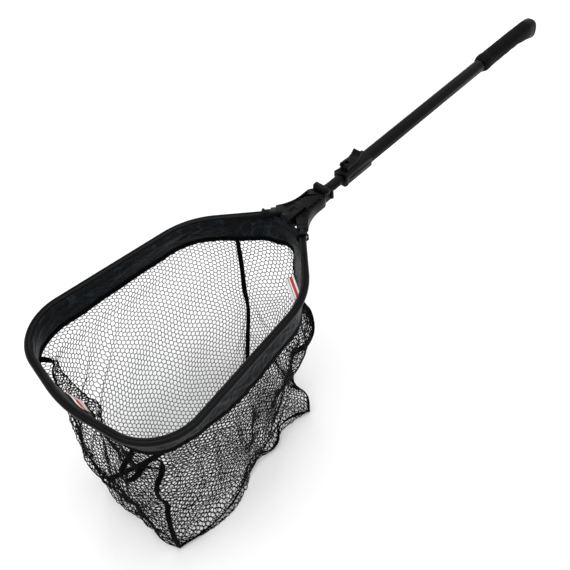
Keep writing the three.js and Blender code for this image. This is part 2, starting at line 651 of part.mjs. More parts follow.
function hoopCorners(start) {
  const half = [start, REAR_CORNER, FRONT_CORNER];
  const mirrored = half.map((corner) => ({ ...corner, y: -corner.y })).reverse();
  return [...half, FRONT_BOW, ...mirrored];
}

function hoopRail() {
  const reach = RAIL_START * Math.SQRT1_2;
  const points = roundedPolygon(hoopCorners({ x: reach, y: reach }), false, 7);
  const path = new THREE.CatmullRomCurve3(
    points.map(([x, y]) => new THREE.Vector3(APEX_X + x, y, 0)), false, 'centripetal');
  const w = RAIL_WIDTH / 2;
  const h = RAIL_HEIGHT / 2;
  // In this section the first coordinate runs down and the second runs outwards.
  const section = shapeOf([
    [-h, -w + 2], [-h, -1], [-h + 1, 0], [-h, 1], [-h, w - 2], [-h + 2, w],
    [h - 2, w], [h, w - 2], [h, -w + 6], [h - 3, -w + 6], [h - 3, -w + 3.4], [h, -w + 3.4],
    [h, -w + 1.4], [h - 1.4, -w], [-h + 2, -w],
  ]);
  const rail = new THREE.ExtrudeGeometry(section, { steps: 60, bevelEnabled: false, extrudePath: path });
  const rivetHoles = [-1, 1].map((side) => onArm(rod('z', 1.9, 40, SOCKET_END - 11, 0, 0, 12), side));
  return cut(rail, rivetHoles);
}

// The closed line that the cloth follows, starting under the yoke and running over the left side.
// It takes a fraction of its length, a distance inwards and a height.
function makeClothLine() {
  const corners = hoopCorners({ x: 0, y: 0, radius: BAND_REAR_RADIUS }).slice(0, -1);
  const arcSteps = 10;
  const line = roundedPolygon(corners, true, arcSteps).map(([x, y]) => new THREE.Vector3(APEX_X + x, y, 0));
  const middle = arcSteps / 2;
  const turned = [...line.slice(middle), ...line.slice(0, middle)];
  const path = new THREE.CatmullRomCurve3(turned, true, 'centripetal');
  return (t, inset, z) => {
    const wrapped = ((t % 1) + 1) % 1;
    const tangent = path.getTangentAt(wrapped);
    const point = path.getPointAt(wrapped);
    return new THREE.Vector3(point.x + tangent.y * inset, point.y - tangent.x * inset, z);
  };
}

const clothLine = makeClothLine();

// A closed ring of cloth between two heights.
function clothRing(inset, top, bottom, thickness, steps) {
  const outline = (extra, z) => Array.from({ length: steps }, (_, k) => clothLine(k / steps, inset + extra, z));
  const rings = [outline(0, bottom), outline(0, top), outline(thickness, top), outline(thickness, bottom)];
  const positions = rings.flat().flatMap((point) => [point.x, point.y, point.z]);
  const index = [];
  for (let r = 0; r < 4; r += 1) {
    for (let k = 0; k < steps; k += 1) {
      const a = r * steps + k;
      const b = r * steps + (k + 1) % steps;
      const c = ((r + 1) % 4) * steps + (k + 1) % steps;
      const d = ((r + 1) % 4) * steps + k;
      index.push(a, d, c, a, c, b);
    }
  }
  const geometry = new THREE.BufferGeometry();
  geometry.setAttribute('position', new THREE.BufferAttribute(new Float32Array(positions), 3));
  geometry.setIndex(index);
  return geometry;
}

// ---------------------------------------------------------------- bag

// Positions round the cloth line, as fractions of its length, where the four upright seams start.
const SEAM = { rearLeft: 0.104, frontLeft: 0.42, frontRight: 0.6, rearRight: 0.925 };

function floorPoint([x, y]) {
  return new THREE.Vector3(APEX_X + x, y, BAG_FLOOR_Z);
}

// A netting panel hangs from a stretch of the cloth line to a straight edge of the bag's floor.
function bagPanel(from, to, floorFrom, floorTo, columns, rows) {
  const start = floorPoint(floorFrom);
  const end = floorPoint(floorTo);
  const lift = new THREE.Vector3(0, 0, CLOTH + 2 * GAP);
  const grid = Array.from({ length: rows + 1 }, (_, r) => Array.from({ length: columns + 1 }, (_c, c) => {
    const across = PANEL_MARGIN + (1 - 2 * PANEL_MARGIN) * (c / columns);
    const down = r / rows;
    const top = clothLine(from + (to - from) * across, BAND_INSET, BAG_TOP_Z);
    const bottom = start.clone().lerp(end, across).add(lift);
    return top.lerp(bottom, down);
  }));
  return sheet(grid, CLOTH);
}

function bottomPanel() {
  const corners = [FLOOR.rearLeft, FLOOR.frontLeft, FLOOR.frontRight, FLOOR.rearRight];
  const outline = corners.map(([x, y]) => ({ x: APEX_X + x, y, radius: 12 })).reverse();
  return prismZ(shapeOf(roundedPolygon(outline, true, 3)), BAG_FLOOR_Z, BAG_FLOOR_Z + CLOTH);
}

// The binding tape of one side of the bag: down a corner, along the floor and up the next corner.
function seamTape(fromT, toT, floorFrom, floorTo) {
  const outwards = floorFrom[1] + floorTo[1] > 0 ? 1 : -1;
  const clear = SEAM_WIDTH / 2 + 1;
  const start = floorPoint(floorFrom);
  const end = floorPoint(floorTo);
  const direction = end.clone().sub(start).normalize();
  const side = new THREE.Vector3(0, outwards * clear, 2);
  const topStart = clothLine(fromT, BAND_INSET - clear, BAG_TOP_Z + 2);
  const topEnd = clothLine(toT, BAND_INSET - clear, BAG_TOP_Z + 2);
  const lowStart = start.clone().addScaledVector(direction, -clear).add(side);
  const lowEnd = end.clone().addScaledVector(direction, clear).add(side);
  const path = new THREE.CurvePath();
  const bend = 14;
  const rising = (low, top) => low.clone().add(top.clone().sub(low).setLength(bend));
  const inwards = (from, to) => from.clone().add(to.clone().sub(from).setLength(bend));
  path.add(new THREE.LineCurve3(topStart, rising(lowStart, topStart)));
  path.add(new THREE.QuadraticBezierCurve3(rising(lowStart, topStart), lowStart, inwards(lowStart, lowEnd)));
  path.add(new THREE.LineCurve3(inwards(lowStart, lowEnd), inwards(lowEnd, lowStart)));
  path.add(new THREE.QuadraticBezierCurve3(inwards(lowEnd, lowStart), lowEnd, rising(lowEnd, topEnd)));
  path.add(new THREE.LineCurve3(rising(lowEnd, topEnd), topEnd));
  const section = new THREE.Shape().absarc(0, 0, 1.6, 0, 2 * Math.PI);
  return new THREE.ExtrudeGeometry(section, {
    steps: 64, bevelEnabled: false, curveSegments: 3, extrudePath: path });
}

// A small sewn label on the inside of the fabric band.
function sewnLabel(t, length, height, z) {
  const middle = clothLine(t, BAND_INSET + CLOTH + 2.5, z);
  const ahead = clothLine(t + 0.005, BAND_INSET + CLOTH + 2.5, z);
  const angle = Math.atan2(ahead.y - middle.y, ahead.x - middle.x);
  const plate = box(-length / 2, length / 2, -0.4, 0.4, -height / 2, height / 2);
  return plate.rotateZ(angle).translate(middle.x, middle.y, z);
}

// The band is notched where the collars and the nose of the yoke stand in its way.
function fabricBand() {
  const ring = clothRing(BAND_INSET, BAND_TOP_Z, BAND_BOTTOM_Z, CLOTH, 64);
  const notches = [-1, 1].map((side) => onArm(box(
    SOCKET_END - 14, SOCKET_END, -ARM_WIDTH, ARM_WIDTH, -ARM_WIDTH / 2 - 2.5, 10), side));
  return cut(ring, notches);
}

add('outer_tube', outerTube(), anodised);
add('grip_sleeve', gripSleeve(), rubber);
add('butt_cap', buttCap(), plastic);
add('tube_plug', tubePlug(), plastic);
add('butt_screw', buttScrew(), steel);
add('lock_housing', lockHousing(), plastic);
add('mouth_bush', mouthBush(), plastic);
HOUSING_SCREW_X.forEach((x, i) => add(`housing_screw_${i + 1}`, housingScrew(x), steel));
add('lever_pin', rod('y', 2, 2 * LEVER_HALF + 1, LEVER_PIVOT_X, 0, LEVER_PIVOT_Z, 14), steel);
add('lever_spring', leverSpring(), steel);
add('lock_lever', lockLever(), plastic);
add('lock_pin', lockPin(), steel);
add('inner_tube', innerTube(), anodised);
add('tail_bush', tailBush(), plastic);
add('hinge_tongue', hingeTongue(), plastic);
TONGUE_RIVET_X.forEach((x, i) => add(`tongue_rivet_${i + 1}`, tongueRivet(x), steel));
add('hinge_pin', hingePin(), steel);
add('hinge_clip', hingeClip(), steel);
add('yoke_frame', yokeFrame(), plastic);
add('socket_collar_left', socketCollar(1), plastic);
add('socket_collar_right', socketCollar(-1), plastic);
add('socket_rivet_left', socketRivet(1), steel);
add('socket_rivet_right', socketRivet(-1), steel);
add('fold_latch', foldLatch(), plastic);
add('latch_spring', latchSpring(), steel);
add('hoop_rail', hoopRail(), anodised);
add('fabric_band', fabricBand(), cloth);
add('hem_tape', clothRing(BAND_INSET - 0.5, BAND_BOTTOM_Z - GAP, BAND_BOTTOM_Z - GAP - HEM_HEIGHT, CLOTH + 1, 64), webbing);
add('bottom_panel', bottomPanel(), netting);
add('near_panel', bagPanel(SEAM.rearLeft, SEAM.frontLeft, FLOOR.rearLeft, FLOOR.frontLeft, 14, 4), netting);
add('front_panel', bagPanel(SEAM.frontLeft, SEAM.frontRight, FLOOR.frontLeft, FLOOR.frontRight, 14, 4), netting);
add('far_panel', bagPanel(SEAM.frontRight, SEAM.rearRight, FLOOR.frontRight, FLOOR.rearRight, 14, 4), netting);
add('rear_panel', bagPanel(SEAM.rearRight - 1, SEAM.rearLeft, FLOOR.rearRight, FLOOR.rearLeft, 16, 4), netting);
add('near_seam_tape', seamTape(SEAM.rearLeft, SEAM.frontLeft, FLOOR.rearLeft, FLOOR.frontLeft), webbing);
add('far_seam_tape', seamTape(SEAM.rearRight, SEAM.frontRight, FLOOR.rearRight, FLOOR.frontRight), webbing);
add('rear_label', sewnLabel(0.086, 56, 26, -47), label);
add('front_label', sewnLabel(0.512, 44, 24, -46), label);

export default model;
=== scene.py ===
"""A folding telescopic landing net: finished surfaces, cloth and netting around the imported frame.

Metres, in the frame of the CAD model: X along the handle to the hoop, Z up, the bag towards -Z.
"""

import math

import bmesh
import bpy
import numpy as np
from mathutils import Matrix, Vector, noise


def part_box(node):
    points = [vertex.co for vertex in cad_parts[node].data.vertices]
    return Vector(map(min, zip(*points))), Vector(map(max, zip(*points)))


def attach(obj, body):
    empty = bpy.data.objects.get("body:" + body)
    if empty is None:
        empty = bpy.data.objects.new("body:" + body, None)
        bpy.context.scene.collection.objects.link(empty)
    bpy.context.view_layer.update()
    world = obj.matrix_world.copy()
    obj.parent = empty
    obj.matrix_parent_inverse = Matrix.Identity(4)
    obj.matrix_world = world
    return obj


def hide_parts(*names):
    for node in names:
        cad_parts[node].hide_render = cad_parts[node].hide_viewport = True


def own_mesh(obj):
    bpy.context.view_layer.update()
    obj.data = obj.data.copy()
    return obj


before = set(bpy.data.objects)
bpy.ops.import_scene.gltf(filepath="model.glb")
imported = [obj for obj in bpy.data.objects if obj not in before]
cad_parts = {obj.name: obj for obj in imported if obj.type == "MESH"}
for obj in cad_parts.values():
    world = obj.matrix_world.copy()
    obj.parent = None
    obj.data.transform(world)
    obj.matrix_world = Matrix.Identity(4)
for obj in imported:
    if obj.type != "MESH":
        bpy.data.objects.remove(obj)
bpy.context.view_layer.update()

# ------------------------------------------------------------------ driving dimensions

MM = 0.001
APEX = np.array([0.730, 0.0, 0.0])     # where the two arms of the yoke meet

GRIP_HALF = 17.8 * MM                   # half the grip's width
BUTT_HOOK = 18 * MM                     # how far the butt reaches down below the grip

RAIL_WIDTH = 14 * MM
RAIL_HEIGHT = 12 * MM
RAIL_START = 53 * MM                    # from the apex to the rail's end inside the socket
REAR_CORNER = (158 * MM, 158 * MM, 161 * MM)     # x and y from the apex, bend radius
FRONT_CORNER = (544 * MM, 203 * MM, 100 * MM)
FRONT_BOW = (581 * MM, 0.0, 282 * MM)
BAND_REAR_RADIUS = 85 * MM

BAND_INSET = 8 * MM
BAND_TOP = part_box("fabric_band")[1][2]
BAND_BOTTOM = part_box("fabric_band")[0][2]
HEM_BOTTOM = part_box("hem_tape")[0][2]
BAG_TOP = HEM_BOTTOM - 0.2 * MM
FLOOR_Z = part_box("bottom_panel")[0][2]

TAPE_WIDTH = 10 * MM
TAPE_THICKNESS = 1.4 * MM
LABEL_WIDTH = 20 * MM
REAR_LABEL_SHARE, REAR_LABEL_LENGTH = 0.088, 56 * MM
FRONT_LABEL_SHARE, FRONT_LABEL_LENGTH = 0.507, 60 * MM

MESH_PITCH = 9.0 * MM                   # across the flats of one hexagon
MESH_TURN = math.radians(20)            # how far the rows of the net lean from the hem
STRAND = 1.6 * MM                       # diameter of one netting strand
STRAND_SIDES = 5
PANEL_STEP = 8 * MM                     # grid of the cloth that the netting follows
SEAM_STEPS = 90                         # points along each edge of a panel
SETTLE_FRAMES = 36                      # steps of the cloth simulation
SPILL = 24 * MM                         # how far the bottom panel lies out beyond its left seam
FRONT_TUCK = 32 * MM                    # the front panel's fold behind the rail
FRONT_BELLY = 22 * MM                   # how far the front panel swells outwards
REAR_BELLY = 22 * MM                    # how far the rear panel swells outwards
PLEATS = (0.38, 0.52)                   # slanting folds of the far panel, as shares of its width
PLEAT_DEPTH = 12 * MM

# shares of the cloth line's length where the four upright seams start
REAR_LEFT, FRONT_LEFT, FRONT_RIGHT, REAR_RIGHT = 0.104, 0.42, 0.61, 0.925


# ------------------------------------------------------------------ mesh helpers

def new_object(name, vertices, faces):
    mesh = bpy.data.meshes.new(name)
    mesh.from_pydata([tuple(map(float, v)) for v in vertices], [], [tuple(map(int, f)) for f in faces])
    mesh.validate()
    mesh.polygons.foreach_set("use_smooth", [True] * len(mesh.polygons))
    mesh.update()
    piece = bpy.data.objects.new(name, mesh)
    bpy.context.collection.objects.link(piece)
    return piece


def outward(piece):
    """Turns every face of a closed mesh to the outside."""
    work = bmesh.new()
    work.from_mesh(piece.data)
    bmesh.ops.recalc_face_normals(work, faces=work.faces)
    work.to_mesh(piece.data)
    work.free()


def apply_modifiers(piece):
    bpy.context.view_layer.update()
    shaped = piece.evaluated_get(bpy.context.evaluated_depsgraph_get())
    mesh = bpy.data.meshes.new_from_object(shaped)
    piece.modifiers.clear()
    piece.data = mesh


def dress(piece, body, slot, surface, *nodes):
    """Gives a finished piece its material and its body, and hides the CAD nodes that it stands for."""
    piece.data.materials.clear()
    piece.data.materials.append(surface)
    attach(piece, body)
    if nodes:
        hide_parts(*nodes)
    return piece


def refined(node, body, slot, surface, bevel=0.5 * MM):
    """A CAD node with its flat facets merged and its edges rounded."""
    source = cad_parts[node]
    work = bmesh.new()
    work.from_mesh(source.data)
    bmesh.ops.remove_doubles(work, verts=work.verts, dist=0.01 * MM)
    bmesh.ops.dissolve_limit(
        work, angle_limit=math.radians(1.0), verts=work.verts, edges=work.edges,
        use_dissolve_boundaries=False)
    mesh = bpy.data.meshes.new(node + "_finished")
    work.to_mesh(mesh)
    work.free()
    piece = bpy.data.objects.new(node + "_finished", mesh)
    bpy.context.collection.objects.link(piece)
    rounding = piece.modifiers.new("rounded_edges", "BEVEL")
    rounding.width = bevel
    rounding.segments = 2
    rounding.limit_method = "ANGLE"
    rounding.angle_limit = math.radians(28)
    rounding.use_clamp_overlap = True
    apply_modifiers(piece)
    piece.data.shade_smooth()
    piece.data.set_sharp_from_angle(angle=math.radians(35))
    return dress(piece, body, slot, surface, node)


def loft(name, rings):
    """A skin through rings of equally many points, closed at both ends."""
    size = len(rings[0])
    vertices = [point for ring in rings for point in ring]
    faces = []
    for r in range(len(rings) - 1):
        for k in range(size):
            a, b = r * size + k, r * size + (k + 1) % size
            faces.append((a, b, b + size, a + size))
    faces.append(tuple(reversed(range(size))))
    faces.append(tuple(range((len(rings) - 1) * size, len(rings) * size)))
    piece = new_object(name, vertices, faces)
    outward(piece)
    return piece


def smoothstep(t, low, high):
    s = np.clip((t - low) / (high - low), 0.0, 1.0)
    return s * s * (3 - 2 * s)


# ------------------------------------------------------------------ plane curves of the hoop

def rounded(corners, closed, steps):
    """Points along a polygon of (x, y, radius); each corner with a radius becomes an arc."""
    points = []
    count = len(corners)
    for i, (x, y, radius) in enumerate(corners):
        here = np.array([x, y])
        if radius == 0 or (not closed and i in (0, count - 1)):
            points.append(here)
            continue
        before = np.array(corners[i - 1][:2]) - here
        after = np.array(corners[(i + 1) % count][:2]) - here
        before /= np.linalg.norm(before)
        after /= np.linalg.norm(after)
        half = math.acos(np.clip(before @ after, -1, 1)) / 2
        middle = (before + after) / np.linalg.norm(before + after)
        centre = here + middle * radius / math.sin(half)
        reach = radius / math.tan(half)
        first = here + before * reach - centre
        last = here + after * reach - centre
        start = math.atan2(first[1], first[0])
        sweep = (math.atan2(last[1], last[0]) - start + math.pi) % (2 * math.pi) - math.pi
        for k in range(steps + 1):
            angle = start + sweep * k / steps
            points.append(centre + radius * np.array([math.cos(angle), math.sin(angle)]))
    return np.array(points)


class Line:
    """A plane curve, measured by the share of its length."""

    def __init__(self, points, closed):
        self.points = np.vstack([points, points[:1]]) if closed else np.array(points)
        self.closed = closed
        steps = np.linalg.norm(np.diff(self.points, axis=0), axis=1)
        self.run = np.concatenate([[0.0], np.cumsum(steps)])
        self.length = self.run[-1]

    def at(self, t):
        share = np.asarray(t) % 1.0 if self.closed else np.clip(t, 0.0, 1.0)
        where = share * self.length
        return np.stack([np.interp(where, self.run, self.points[:, k]) for k in (0, 1)], axis=-1)

    def tangent(self, t):
        window = 0.004
        ahead = self.at(np.asarray(t) + window) - self.at(np.asarray(t) - window)
        return ahead / np.linalg.norm(ahead, axis=-1, keepdims=True)

    def offset(self, t, inset, z):
        """Points at a distance inwards from the curve and at a height, in the row frame."""
        plane = self.at(t)
        tangent = self.tangent(t)
        x = plane[..., 0] + tangent[..., 1] * inset + APEX[0]
        y = plane[..., 1] - tangent[..., 0] * inset
        return np.stack([x, y, np.broadcast_to(z, x.shape)], axis=-1)


def hoop_corners(start):
    half = [start, REAR_CORNER, FRONT_CORNER]
    mirrored = [(x, -y, radius) for x, y, radius in reversed(half)]
    return half + [FRONT_BOW] + mirrored


def make_rail_line():
    reach = RAIL_START * math.sqrt(0.5)
    return Line(rounded(hoop_corners((reach, reach, 0)), False, 40), closed=False)


def make_cloth_line():
    steps = 40
    points = rounded(hoop_corners((0.0, 0.0, BAND_REAR_RADIUS))[:-1], True, steps)
    return Line(np.roll(points, -steps // 2, axis=0), closed=True)


RAIL_LINE = make_rail_line()
CLOTH_LINE = make_cloth_line()


# ------------------------------------------------------------------ materials

def ramp(nodes, low, high, dark, light):
    node = nodes.new("ShaderNodeValToRGB")
    node.color_ramp.elements[0].position = low
    node.color_ramp.elements[1].position = high
    node.color_ramp.elements[0].color = (*dark, 1)
    node.color_ramp.elements[1].color = (*light, 1)
    return node


def texture(nodes, links, kind, coordinate, scale, **settings):
    node = nodes.new(kind)
    node.inputs["Scale"].default_value = scale
    for name, value in settings.items():
        if name in node.inputs:
            node.inputs[name].default_value = value
        else:
            setattr(node, name, value)
    links.new(coordinate, node.inputs["Vector"])
    return node


def stretched_coordinates(nodes, links, source, stretch):
    mapping = nodes.new("ShaderNodeMapping")
    mapping.inputs["Scale"].default_value = stretch
    links.new(source, mapping.inputs["Vector"])
    return mapping.outputs["Vector"]


def painted_crease_highlights(nodes, links, coordinates, cloth, colour):
    """Thin lighter lines of painted highlight, where folds of stiff fabric would catch the light: the middle
    levels of two crossed noises.
    """
    for scale, share in ((16.0, 0.8), (41.0, 0.45)):
        folds = texture(nodes, links, "ShaderNodeTexNoise", coordinates, scale, Detail=2.0, Distortion=1.6)
        level = nodes.new("ShaderNodeMath")
        level.operation = "SUBTRACT"
        level.inputs[1].default_value = 0.5
        links.new(folds.outputs["Fac"], level.inputs[0])
        away = nodes.new("ShaderNodeMath")
        away.operation = "ABSOLUTE"
        links.new(level.outputs["Value"], away.inputs[0])
        near = nodes.new("ShaderNodeMapRange")
        near.inputs["From Min"].default_value = 0.0
        near.inputs["From Max"].default_value = 0.022
        near.inputs["To Min"].default_value = share
        near.inputs["To Max"].default_value = 0.0
        links.new(away.outputs["Value"], near.inputs["Value"])
        highlighted = nodes.new("ShaderNodeMix")
        highlighted.data_type = "RGBA"
        highlighted.inputs["B"].default_value = (*colour, 1)
        links.new(near.outputs["Result"], highlighted.inputs["Factor"])
        links.new(cloth, highlighted.inputs["A"])
        cloth = highlighted.outputs["Result"]
    return cloth


def finish_material(
        name, dark, light, roughness, metallic=0.0, patch=30.0, grain=900.0, depth=0.05 * MM,
        stretch=(1, 1, 1), specular=0.5, relief=None, crease_highlight_colour=None):
    """Mottled colour, uneven gloss and a fine grain.

    relief(nodes, links, where) adds a pattern's height; the crease colour, if given, paints thin highlight
    lines where folds would catch the light.
    """
    surface = bpy.data.materials.new(name)
    surface.use_nodes = True
    nodes, links = surface.node_tree.nodes, surface.node_tree.links
    shader = nodes["Principled BSDF"]
    shader.inputs["Metallic"].default_value = metallic
    shader.inputs["Specular IOR Level"].default_value = specular
    where = nodes.new("ShaderNodeTexCoord")
    spread = stretched_coordinates(nodes, links, where.outputs["Object"], stretch)
    patches = texture(nodes, links, "ShaderNodeTexNoise", spread, patch, Detail=5.0, Roughness=0.6)
    colours = ramp(nodes, 0.3, 0.75, dark, light)
    links.new(patches.outputs["Fac"], colours.inputs["Fac"])
    colour = colours.outputs["Color"]
    # The crease colour paints lighter lines of highlight over the fabric, standing in for light caught by
    # its folds.
    if crease_highlight_colour:
        colour = painted_crease_highlights(nodes, links, spread, colour, crease_highlight_colour)
    links.new(colour, shader.inputs["Base Color"])
    gloss = nodes.new("ShaderNodeMapRange")
    gloss.inputs["From Min"].default_value = 0.3
    gloss.inputs["From Max"].default_value = 0.7
    gloss.inputs["To Min"].default_value = roughness[0]
    gloss.inputs["To Max"].default_value = roughness[1]
    links.new(patches.outputs["Fac"], gloss.inputs["Value"])
    links.new(gloss.outputs["Result"], shader.inputs["Roughness"])
    fine = texture(nodes, links, "ShaderNodeTexNoise", spread, grain, Detail=3.0)
    height = fine.outputs["Fac"]
    if relief:
        blend = nodes.new("ShaderNodeMath")
        blend.operation = "MULTIPLY_ADD"
        blend.inputs[1].default_value = 0.25
        links.new(height, blend.inputs[0])
        links.new(relief(nodes, links, where), blend.inputs[2])
        height = blend.outputs["Value"]
    bump = nodes.new("ShaderNodeBump")
    bump.inputs["Strength"].default_value = 0.6
    bump.inputs["Distance"].default_value = depth
    links.new(height, bump.inputs["Height"])
    links.new(bump.outputs["Normal"], shader.inputs["Normal"])
    return surface


def band_waves(period):
    """Scale of a wave texture whose bands repeat at the given length."""
    return 2 * math.pi / 20 / period


def woven(period):
    """Relief of warp and weft threads along a piece's own cloth coordinates."""
    def relief(nodes, links, where):
        flat = nodes.new("ShaderNodeUVMap")
        flat.uv_map = "cloth"
        threads = [
            texture(nodes, links, "ShaderNodeTexWave", flat.outputs["UV"], band_waves(period),
                    bands_direction=way)
            for way in ("X", "Y")]
        both = nodes.new("ShaderNodeMath")
        both.operation = "MAXIMUM"
        for thread, entry in zip(threads, both.inputs):
            links.new(thread.outputs["Fac"], entry)
        return both.outputs["Value"]
    return relief


def ribbed(period, way):
    """Relief of parallel ribs across one axis of the row frame."""
    def relief(nodes, links, where):
        ribs = texture(
            nodes, links, "ShaderNodeTexWave", where.outputs["Object"], band_waves(period),
            bands_direction=way)
        return ribs.outputs["Fac"]
    return relief


def pebbled(scale):
    """Relief of small round pimples, as on a moulded rubber grip."""
    def relief(nodes, links, where):
        cells = texture(nodes, links, "ShaderNodeTexVoronoi", where.outputs["Object"], scale)
        return cells.outputs["Distance"]
    return relief


ALLOY = finish_material(
    "anodised_alloy", (0.0014, 0.0015, 0.0017), (0.0038, 0.004, 0.0044), (0.24, 0.38), patch=25, grain=1500,
    depth=0.02 * MM, stretch=(0.12, 1, 1), specular=0.09)
NYLON = finish_material(
    "moulded_nylon", (0.0009, 0.0010, 0.0011), (0.0026, 0.0027, 0.003), (0.30, 0.45), patch=40, grain=1400,
    depth=0.06 * MM, specular=0.09)
RUBBER = finish_material(
    "grip_rubber", (0.0008, 0.0008, 0.0009), (0.0024, 0.0024, 0.0026), (0.50, 0.70), patch=35, grain=900,
    depth=0.25 * MM, specular=0.06, relief=pebbled(650))
STEEL = finish_material(
    "dark_steel", (0.008, 0.0085, 0.0095), (0.035, 0.036, 0.039), (0.28, 0.45), metallic=1.0, patch=120,
    grain=2500, depth=0.02 * MM)
# The band's crease colour paints thin highlight lines where its folds would catch the light.
BAND = finish_material(
    "band_fabric", (0.0005, 0.0012, 0.0018), (0.0022, 0.0042, 0.0062), (0.26, 0.40), patch=18, grain=1600,
    depth=0.12 * MM, specular=0.13, relief=woven(1.1 * MM),
    crease_highlight_colour=(0.022, 0.032, 0.042))
BINDING = finish_material(
    "binding_tape", (0.0006, 0.0006, 0.0007), (0.0018, 0.0018, 0.002), (0.62, 0.85), patch=60, grain=1500,
    depth=0.15 * MM, specular=0.04, relief=ribbed(1.6 * MM, "DIAGONAL"))
NETTING = finish_material(
    "coated_netting", (0.0006, 0.0006, 0.0007), (0.002, 0.002, 0.0023), (0.45, 0.65), patch=45, grain=2200,
    depth=0.1 * MM, specular=0.05)


def label_material():
    """White woven cloth with a plain red bar and a dark line under it."""
    surface = finish_material(
        "label_cloth", (0.62, 0.62, 0.60), (0.78, 0.78, 0.76), (0.55, 0.7), patch=90, grain=1800,
        depth=0.1 * MM, relief=woven(0.9 * MM))
    nodes, links = surface.node_tree.nodes, surface.node_tree.links
    shader = nodes["Principled BSDF"]
    cloth = shader.inputs["Base Color"].links[0].from_socket
    flat = nodes.new("ShaderNodeUVMap")
    flat.uv_map = "cloth"
    split = nodes.new("ShaderNodeSeparateXYZ")
    links.new(flat.outputs["UV"], split.inputs["Vector"])
    for low, high, colour in LABEL_BARS:
        inside = nodes.new("ShaderNodeMath")
        inside.operation = "COMPARE"
        inside.inputs[1].default_value = (low + high) / 2
        inside.inputs[2].default_value = (high - low) / 2
        links.new(split.outputs["Y"], inside.inputs[0])
        print_on = nodes.new("ShaderNodeMix")
        print_on.data_type = "RGBA"
        print_on.inputs["B"].default_value = (*colour, 1)
        links.new(inside.outputs["Value"], print_on.inputs["Factor"])
        links.new(cloth, print_on.inputs["A"])
        cloth = print_on.outputs["Result"]
    links.new(cloth, shader.inputs["Base Color"])
    return surface


# distances of the printed bars from the label's seam, with their colours
LABEL_BARS = [(4 * MM, 10 * MM, (0.42, 0.015, 0.02)), (13 * MM, 14.2 * MM, (0.02, 0.02, 0.022))]
LABEL = label_material()


# ------------------------------------------------------------------ camera, light and floor

CAMERA_PLACE = Vector((1.5199, 0.7959, 1.0486))
CAMERA_AIM = Vector((-0.4481, -0.4910, -0.7471))
CAMERA_UP = Vector((-0.5859, -0.4699, 0.6602))
CAMERA_LENS = 49.26
SENSOR_WIDTH = 36
FLOOR_REACH = 6.0                       # half a side of the studio floor, in metres
FLOOR_GAP = 0.6 * MM                    # from the bag down to the studio floor


def make_camera():
    right = CAMERA_AIM.cross(CAMERA_UP).normalized()
    up = right.cross(CAMERA_AIM).normalized()
    back = -CAMERA_AIM.normalized()
    turn = Matrix((right, up, back)).transposed().to_4x4()
    data = bpy.data.cameras.new("camera")
    data.lens = CAMERA_LENS
    data.sensor_width = SENSOR_WIDTH
    camera = bpy.data.objects.new("camera", data)
    camera.matrix_world = Matrix.Translation(CAMERA_PLACE) @ turn
    bpy.context.collection.objects.link(camera)
    bpy.context.scene.camera = camera


def make_light(name, place, target, size, power):
    data = bpy.data.lights.new(name, "AREA")
    data.shape = "DISK"
    data.size = size
    data.energy = power
    light = bpy.data.objects.new(name, data)
    light.location = place
    light.rotation_euler = (Vector(target) - Vector(place)).to_track_quat("-Z", "Y").to_euler()
    bpy.context.collection.objects.link(light)


def make_studio():
    world = bpy.data.worlds.new("studio")
    bpy.context.scene.world = world
    world.use_nodes = True
    world.node_tree.nodes["Background"].inputs["Color"].default_value = (1.0, 1.0, 1.0, 1)
    world.node_tree.nodes["Background"].inputs["Strength"].default_value = 0.9
    middle = (0.9, 0.0, -0.1)
    make_light("overhead", (0.9, -0.3, 3.0), middle, 3.2, 50)
    make_light("side", (-0.3, -2.2, 1.5), middle, 0.5, 9)
    bpy.context.scene.view_settings.view_transform = "Standard"
    floor_material = finish_material(
        "pale_floor", (0.93, 0.93, 0.93), (0.96, 0.96, 0.96), (0.8, 0.9), patch=2, grain=40, specular=0.1)
    reach = FLOOR_REACH
    z = FLOOR_Z - FLOOR_GAP
    corners = [(-reach, -reach, z), (reach, -reach, z), (reach, reach, z), (-reach, reach, z)]
    floor = new_object("floor", corners, [(0, 1, 2, 3)])
    floor.data.materials.append(floor_material)


make_camera()
make_studio()


# ------------------------------------------------------------------ hard parts

def soft_square(x, half_y, top, bottom, sides=48):
    """One ring of the grip: a square with soft corners about y = 0."""
    softness = 2 / 2.6
    middle, half_z = (top + bottom) / 2, (top - bottom) / 2
    angles = 2 * np.pi * np.arange(sides) / sides
    c, s = np.cos(angles), np.sin(angles)
    y = half_y * np.sign(c) * np.abs(c) ** softness
    z = middle + half_z * np.sign(s) * np.abs(s) ** softness
    return np.stack([np.full(sides, x), y, z], axis=-1)


def grip_rings():
    """The rubber sleeve: a hooked rear end, finger waves below, three grooves and a front collar."""
    low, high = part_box("grip_sleeve")
    rear, front, half = low[0], high[0], GRIP_HALF
    rings = []
    for t in np.linspace(0, 1, 160):
        collar = 0.9 * MM * smoothstep(t, 0.84, 0.9) - 3.2 * MM * smoothstep(t, 0.9, 1) ** 3
        hook = 0.45 * BUTT_HOOK * (1 - smoothstep(t, 0, 0.3))
        finger = 1.1 * MM * math.sin(math.pi * 4 * float(np.clip((t - 0.16) / 0.66, 0, 1))) ** 2
        ribs = 0.35 * MM * math.sin(math.pi * 44 * float(np.clip((t - 0.1) / 0.7, 0, 1))) ** 2
        size = half + collar - ribs
        rings.append(soft_square(rear + (front - rear) * t, size, size, -size - hook + finger))
    bore = 14.4 * MM
    inner = [soft_square(x, bore, bore, -bore) for x in (front, rear)]
    return rings + inner


